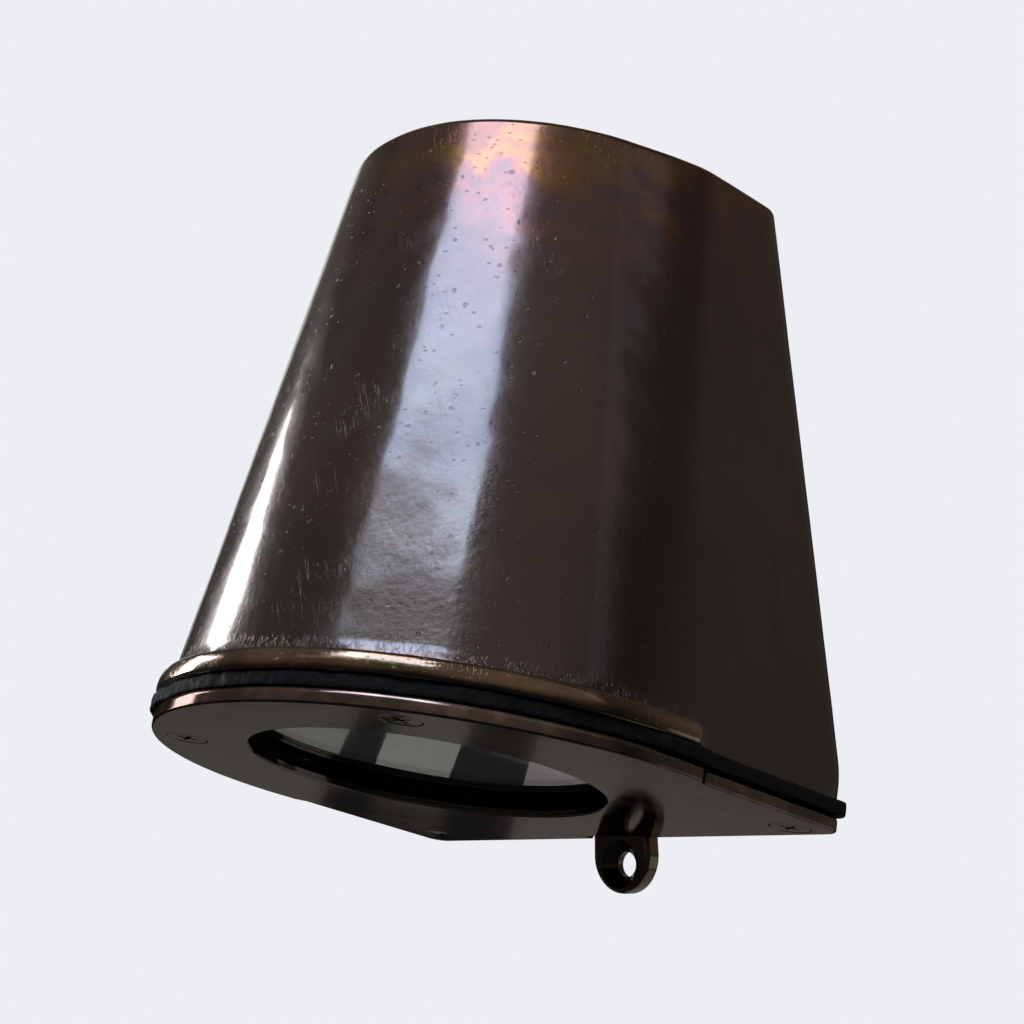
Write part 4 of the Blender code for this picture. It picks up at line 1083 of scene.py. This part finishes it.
def make_cover_screws():
    head = 4.25 * MM
    shank = 1.95 * MM
    cone = head - shank
    rim = 0.2 * MM
    profile = [(0, cone + rim + 0.08 * MM), (head * 0.6, cone + rim + 0.05 * MM)]
    profile += [(head - 0.1 * MM, cone + rim), (head, cone), (shank * 1.02, 0.02 * MM)]
    flip = Matrix.Rotation(math.pi, 4, "X")
    for index, (x, y) in enumerate(cover_screw_spots()):
        mesh = screw_mesh(profile, shank, 14.0 * MM, 0.7 * MM, (2.3 * MM, 2.0 * MM, cone + rim))
        spin = Matrix.Rotation(0.3 + index * 1.1, 4, "Z")
        spot = Matrix.Translation((x, y, cone + rim + 0.08 * MM))
        moved(mesh, spot @ flip @ spin)
        points = points_of(mesh)
        away = np.hypot(points[:, 0] - x, points[:, 1] - y)
        set_values(mesh, "wear_and_glint", 0.45 + 0.35 * ramp(away, 3.7 * MM, 4.2 * MM))
        name = f"cover_screw_{index + 1}"
        piece(f"{name}_m4", moved(mesh, TO_WALL), "cover", "satin_bronze", name)


def pan_screw(name, body, slot, sizes, matrix):
    head, head_height, shank, length, pitch = sizes
    profile = [(0, head_height), (head * 0.5, head_height * 0.97), (head * 0.8, head_height * 0.82)]
    profile += [(head * 0.96, head_height * 0.5), (head, head_height * 0.15), (head * 0.98, 0)]
    profile += [(shank, 0.001 * MM)]
    mesh = screw_mesh(profile, shank, length, pitch, (head * 0.52, head_height * 0.8, head_height * 0.97))
    piece(f"{name}_pan_head", moved(mesh, matrix), body, slot, name)


def make_inner_screws():
    for index, (x, y) in enumerate(ear_spots()):
        sizes = (2.8 * MM, 1.8 * MM, 1.45 * MM, 6.0 * MM, 0.5 * MM)
        matrix = TO_WALL @ Matrix.Translation((x, y, CLAMP_TOP + GAP))
        pan_screw(f"clamp_screw_{index + 1}", "cover", "zinc_steel", sizes, matrix)
    for index, z in enumerate(BRACKET_SCREW_Z):
        depth = BACK_WALL + PAD_HEIGHT + 2 * MM + 2 * GAP
        sizes = (4.0 * MM, 2.4 * MM, 1.95 * MM, 8.0 * MM, 0.7 * MM)
        pan_screw(f"bracket_screw_{index + 1}", "housing", "zinc_steel", sizes, facing_out(0, z, depth))
    bracket_top = 104.0 * MM + GAP + 2 * MM + GAP
    for index, side in enumerate((-1, 1)):
        sizes = (3.0 * MM, 1.8 * MM, 1.45 * MM, 5.0 * MM, 0.5 * MM)
        matrix = TO_WALL @ Matrix.Translation((0, OPENING_Y + side * 10 * MM, bracket_top))
        pan_screw(f"holder_screw_{index + 1}", "housing", "zinc_steel", sizes, matrix)
    sizes = (4.0 * MM, 2.4 * MM, 1.95 * MM, 6.5 * MM, 0.7 * MM)
    depth = BACK_WALL + PAD_HEIGHT + GAP + 0.8 * MM + GAP
    pan_screw("earth_screw", "housing", "brass", sizes, facing_out(*EARTH_SPOT, depth))


# ---------------------------------------------------------------- glass and what holds it


def make_lens():
    place = TO_WALL @ OPENING
    edge = 0.5 * MM
    glass = [
        (0, GLASS_BOTTOM),
        (GLASS_RADIUS * 0.5, GLASS_BOTTOM),
        (GLASS_RADIUS - edge, GLASS_BOTTOM),
        (GLASS_RADIUS, GLASS_BOTTOM + edge),
        (GLASS_RADIUS, GLASS_TOP - edge),
        (GLASS_RADIUS - edge, GLASS_TOP),
        (GLASS_RADIUS * 0.5, GLASS_TOP),
        (0, GLASS_TOP),
    ]
    mesh = turned("glass", glass, 160)
    piece("lens_glass_disc", moved(mesh, place), "cover", "clear_glass", "lens_glass", sharp=25.0)
    outer = GLASS_RADIUS + 0.6 * MM
    low = LENS_LIP + 0.02 * MM
    high = GLASS_BOTTOM - 0.02 * MM
    ribs = []
    for k in range(7):
        z = low + (high - low) * k / 6
        ribs.append((LENS_SEAL_INNER + (0.4 * MM if k % 2 else 0.0), z))
    seal = ribs + [(outer, high), (outer, low)]
    mesh = turned_ring("seal", seal, 160)
    piece("lens_gasket_ribbed", moved(mesh, place), "cover", "black_rubber", "lens_gasket")


def make_glare_cone():
    """A spun sheet cone with fine steps inside against glare."""
    wall = CONE_WALL
    steps = 16
    inner = []
    for k in range(steps + 1):
        share = k / steps
        z = CONE_FOOT + (CONE_TOP - CONE_FOOT) * share
        radius = CONE_FOOT_RADIUS + (CONE_TOP_RADIUS - CONE_FOOT_RADIUS) * share
        inner += [(radius, z), (radius - 0.25 * MM, z)][: 1 if k in (0, steps) else 2]
    foot = [(GLASS_RADIUS, CONE_FLANGE_TOP), (GLASS_RADIUS, CONE_FOOT)]
    outer = [(CONE_TOP_RADIUS + wall, CONE_TOP), (CONE_FOOT_RADIUS + wall, CONE_FLANGE_TOP)]
    mesh = turned_ring("cone", inner + outer + foot, 144)
    place = TO_WALL @ OPENING
    piece("glare_cone_stepped", moved(mesh, place), "cover", "black_paint", "glare_cone", sharp=20.0)


def lamp_shell():
    """The lamp's outline of (radius, z) from its base down to its front rim and in under the lens."""
    base, front = LAMP_BASE, LAMP_FRONT
    neck = [(0, base), (11.5 * MM, base), (12.0 * MM, base - 0.5 * MM), (12.0 * MM, base - 9 * MM)]
    belly = [(14.5 * MM, base - 12 * MM), (15.5 * MM, base - 18 * MM), (20.0 * MM, base - 30 * MM)]
    rim = [(23.4 * MM, front + 12 * MM), (24.6 * MM, front + 5 * MM), (LAMP_RADIUS, front + 4 * MM)]
    lip = [(LAMP_RADIUS, front), (22.6 * MM, front), (22.6 * MM, front + 2.6 * MM), (0, front + 2.6 * MM)]
    return rounded(neck + belly + rim + lip, 1.2 * MM)


def make_lamp():
    """The lamp's moulded body with shallow cooling flutes, and its faceted lens with a rounded rim."""
    place = TO_WALL @ OPENING
    rows = []
    for ring in turned_rows(lamp_shell(), 144):
        z = ring[0][2]
        depth = 0.45 * MM * float(ramp(z, LAMP_FRONT + 8 * MM, LAMP_FRONT + 12 * MM))
        depth *= 1 - float(ramp(z, LAMP_BASE - 24 * MM, LAMP_BASE - 20 * MM))
        fluted = []
        for x, y, _ in ring:
            hollow = max(0.0, math.cos(24 * math.atan2(y, x))) ** 2
            reach = 1 - depth * hollow / max(math.hypot(x, y), 1 * MM)
            fluted.append((x * reach, y * reach, z))
        rows.append(fluted)
    body = moved(grid_solid("body", rows), place)
    piece("lamp_body_fluted", body, "lamp", "white_plastic", "lamp_body", sharp=40.0)
    front = LAMP_FRONT
    face = [
        (0, front + 2.3 * MM),
        (22.2 * MM, front + 2.3 * MM),
        (22.2 * MM, front + 0.6 * MM),
        (21.6 * MM, front + 0.2 * MM),
        (14.0 * MM, front),
        (0, front - 0.2 * MM),
    ]
    lens = moved(turned("face", rounded(face, 0.5 * MM), 144), place)
    piece("lamp_face_lens", lens, "lamp", "frosted_lens", "lamp_face", sharp=25.0)


def make_grommet():
    """The rubber bush of the cable entry, its lip and mouth rounded."""
    inner = 3.2 * MM
    neck = ENTRY_RADIUS - GAP
    lip = ENTRY_RADIUS + 1.8 * MM
    face = BACK_WALL + GAP
    outer = [
        (inner, face + 3.5 * MM),
        (inner + 1.6 * MM, face + 3.5 * MM),
        (lip, face + 1.6 * MM),
        (lip, face),
        (neck, face),
        (neck, 0.4 * MM),
        (inner, 0.4 * MM),
    ]
    groove = [(inner, face * 0.4), (inner + 0.3 * MM, face * 0.5), (inner, face * 0.6)]
    profile = rounded(outer, 0.6 * MM) + groove
    mesh = moved(turned_ring("grommet", profile, 96), facing_out(0, ENTRY_Z))
    piece("cable_grommet_bush", mesh, "housing", "black_rubber", "cable_grommet")


make_hood()
make_cover_plate()
make_cover_gasket()
make_cover_screws()
make_inner_screws()
make_lens()
make_glare_cone()
make_lamp()
make_grommet()


# ---------------------------------------------------------------- nodes that keep their CAD mesh


def dress_nodes():
    """Gives each shown CAD node the material of its slot."""
    slots = {part["node"]: part["material_slot"] for part in frame["record"]["subparts"]}
    for name, node in frame["nodes"].items():
        if node.hide_render:
            continue
        node.data.materials.clear()
        node.data.materials.append(MATERIALS[slots[name]])


dress_nodes()


# ---------------------------------------------------------------- stage


def direction(azimuth, elevation):
    """Away from the object: azimuth 0 is straight in front of the wall, 90 is to the viewer's right."""
    flat = math.cos(elevation)
    return Vector((math.sin(azimuth) * flat, -math.cos(azimuth) * flat, math.sin(elevation)))


def make_camera():
    data = bpy.data.cameras.new("camera")
    data.lens = CAMERA_LENS
    data.sensor_width = 36.0
    data.clip_start = 0.01
    data.clip_end = 50.0
    camera = bpy.data.objects.new("camera", data)
    bpy.context.scene.collection.objects.link(camera)
    back = direction(CAMERA_AZIMUTH, CAMERA_ELEVATION)
    camera.location = CAMERA_TARGET + back * CAMERA_DISTANCE
    aim = (-back).to_track_quat("-Z", "Y").to_matrix().to_4x4()
    camera.rotation_euler = (aim @ Matrix.Rotation(CAMERA_ROLL, 4, "Z")).to_euler()
    bpy.context.scene.camera = camera


def softbox(name, azimuth, elevation, width, height, radiance, colour, distance, roll=0.0):
    """A soft light panel that faces the object. Width and height are angles in degrees."""
    data = bpy.data.lights.new(name, "AREA")
    data.shape = "RECTANGLE"
    data.size = 2 * distance * math.tan(math.radians(width) / 2)
    data.size_y = 2 * distance * math.tan(math.radians(height) / 2)
    data.energy = radiance * math.pi * data.size * data.size_y
    data.color = colour
    lamp = bpy.data.objects.new(name, data)
    bpy.context.scene.collection.objects.link(lamp)
    away = direction(math.radians(azimuth), math.radians(elevation))
    lamp.location = away * distance
    aim = (-away).to_track_quat("-Z", "Y").to_matrix().to_4x4()
    lamp.rotation_euler = (aim @ Matrix.Rotation(math.radians(roll), 4, "Z")).to_euler()
    lamp.visible_camera = False
    return lamp


def make_lights():
    far = 3.0
    near = 1.0
    softbox("window", 18, 48.0, 38, 9, 5.9, (0.76, 0.94, 1.34), far, -5)
    softbox("window_top", 16, 59.5, 31, 14, 5.9, (0.98, 0.90, 1.16), far, -5)
    softbox("window_sill", 17, 42.2, 40, 3.0, 1.9, (0.88, 0.96, 1.16), far)
    softbox("window_foot", 14, 37.0, 52, 7.0, 0.34, (1.0, 0.95, 0.90), far)
    softbox("left_strip", -75.5, 15.5, 15, 24, 8.2, (1.0, 0.96, 1.0), far)
    softbox("edge_light", -122, 26, 20, 36, 0.55, (0.97, 1.0, 0.93), far)
    softbox("right_strip", 103, 34, 6, 28, 0.17, (0.85, 0.80, 1.05), far)
    softbox("low_card_left", -113.7, -21.5, 11.2, 15, 0.205, (1.0, 0.99, 0.90), near)
    softbox("low_card_middle", -122.8, -24.3, 2.9, 7.5, 0.26, (0.98, 1.0, 0.92), near)
    softbox("low_card_right", -136.5, -21.5, 16.8, 15, 0.225, (1.0, 0.93, 0.91), near)
    softbox("back_card", 140, -20, 44, 26, 0.34, (1.0, 0.96, 0.92), 1.2)
    softbox("floor_bounce", 180, -62, 64, 44, 0.20, (1.0, 0.97, 0.93), 0.55)
    softbox("low_card_back", -123.5, -25.0, 14, 5, 0.045, (1.0, 0.93, 0.88), 1.1)


def world_glow(tree, towards, azimuth, elevation, start, strength):
    """A broad soft patch of the room's light round one direction."""
    centre = tuple(direction(math.radians(azimuth), math.radians(elevation)))
    near = add(tree, "VectorMath", {0: towards, 1: centre}, operation="DOT_PRODUCT").outputs["Value"]
    return scale_to(tree, near, start, 1.0, 0.0, strength)


def make_world():
    """The backdrop that the camera sees, and a dim warm room, brightest above and in front."""
    world = bpy.data.worlds.new("studio")
    world.use_nodes = True
    tree = world.node_tree
    tree.nodes.clear()
    seen = add(tree, "Background", {"Color": (*BACKDROP, 1.0), "Strength": 1.0})
    towards = add(tree, "TexCoord").outputs["Generated"]
    front = tuple(direction(math.radians(20), 0))
    ahead = add(tree, "VectorMath", {0: towards, 1: front}, operation="DOT_PRODUCT").outputs["Value"]
    above = add(tree, "SeparateXYZ", {"Vector": towards}).outputs["Z"]
    bright = scale_to(tree, ahead, -0.10, 0.20, 0.50, 1.0)
    bright = calc(tree, "MULTIPLY", bright, scale_to(tree, above, 0.05, 0.50, 0.22, 1.0))
    bright = calc(tree, "MULTIPLY", bright, 0.20)
    bright = calc(tree, "ADD", bright, world_glow(tree, towards, 68, 36, 0.80, 0.13))
    bright = calc(tree, "ADD", bright, world_glow(tree, towards, 150, -4, 0.75, 0.11))
    light = add(tree, "Background", {"Color": (1.0, 0.83, 0.73, 1.0), "Strength": bright})
    rays = add(tree, "LightPath")
    both = add(tree, "MixShader")
    tree.links.new(rays.outputs["Is Camera Ray"], both.inputs[0])
    tree.links.new(light.outputs[0], both.inputs[1])
    tree.links.new(seen.outputs[0], both.inputs[2])
    out = add(tree, "OutputWorld")
    tree.links.new(both.outputs[0], out.inputs["Surface"])
    bpy.context.scene.world = world


def make_floor():
    """A round pale floor below the lamp that fades into the backdrop, so that no horizon shows."""
    height = -0.62
    mesh = turned("floor", [(0, height - 0.01), (4.0, height - 0.01), (4.0, height), (0, height)], 96)
    floor = add_object("floor", mesh)
    made, tree, shader, place = start_material("pale_floor", Roughness=0.9)
    shader.inputs["Base Color"].default_value = (0.02, 0.02, 0.02, 1.0)
    away = add(tree, "VectorMath", {0: place}, operation="LENGTH").outputs["Value"]
    fade = scale_to(tree, away, 0.6, 1.6, 0.88, 1.0)
    rays = add(tree, "LightPath").outputs["Is Camera Ray"]
    share = calc(tree, "MULTIPLY", fade, rays)
    glow = add(tree, "Emission", {"Color": (*BACKDROP, 1.0), "Strength": 1.0})
    both = add(tree, "MixShader")
    tree.links.new(share, both.inputs[0])
    tree.links.new(shader.outputs[0], both.inputs[1])
    tree.links.new(glow.outputs[0], both.inputs[2])
    tree.links.new(both.outputs[0], tree.nodes["Material Output"].inputs["Surface"])
    mesh.materials.append(made)


make_camera()
make_lights()
make_world()
make_floor()
bpy.context.scene.view_settings.view_transform = "Standard"
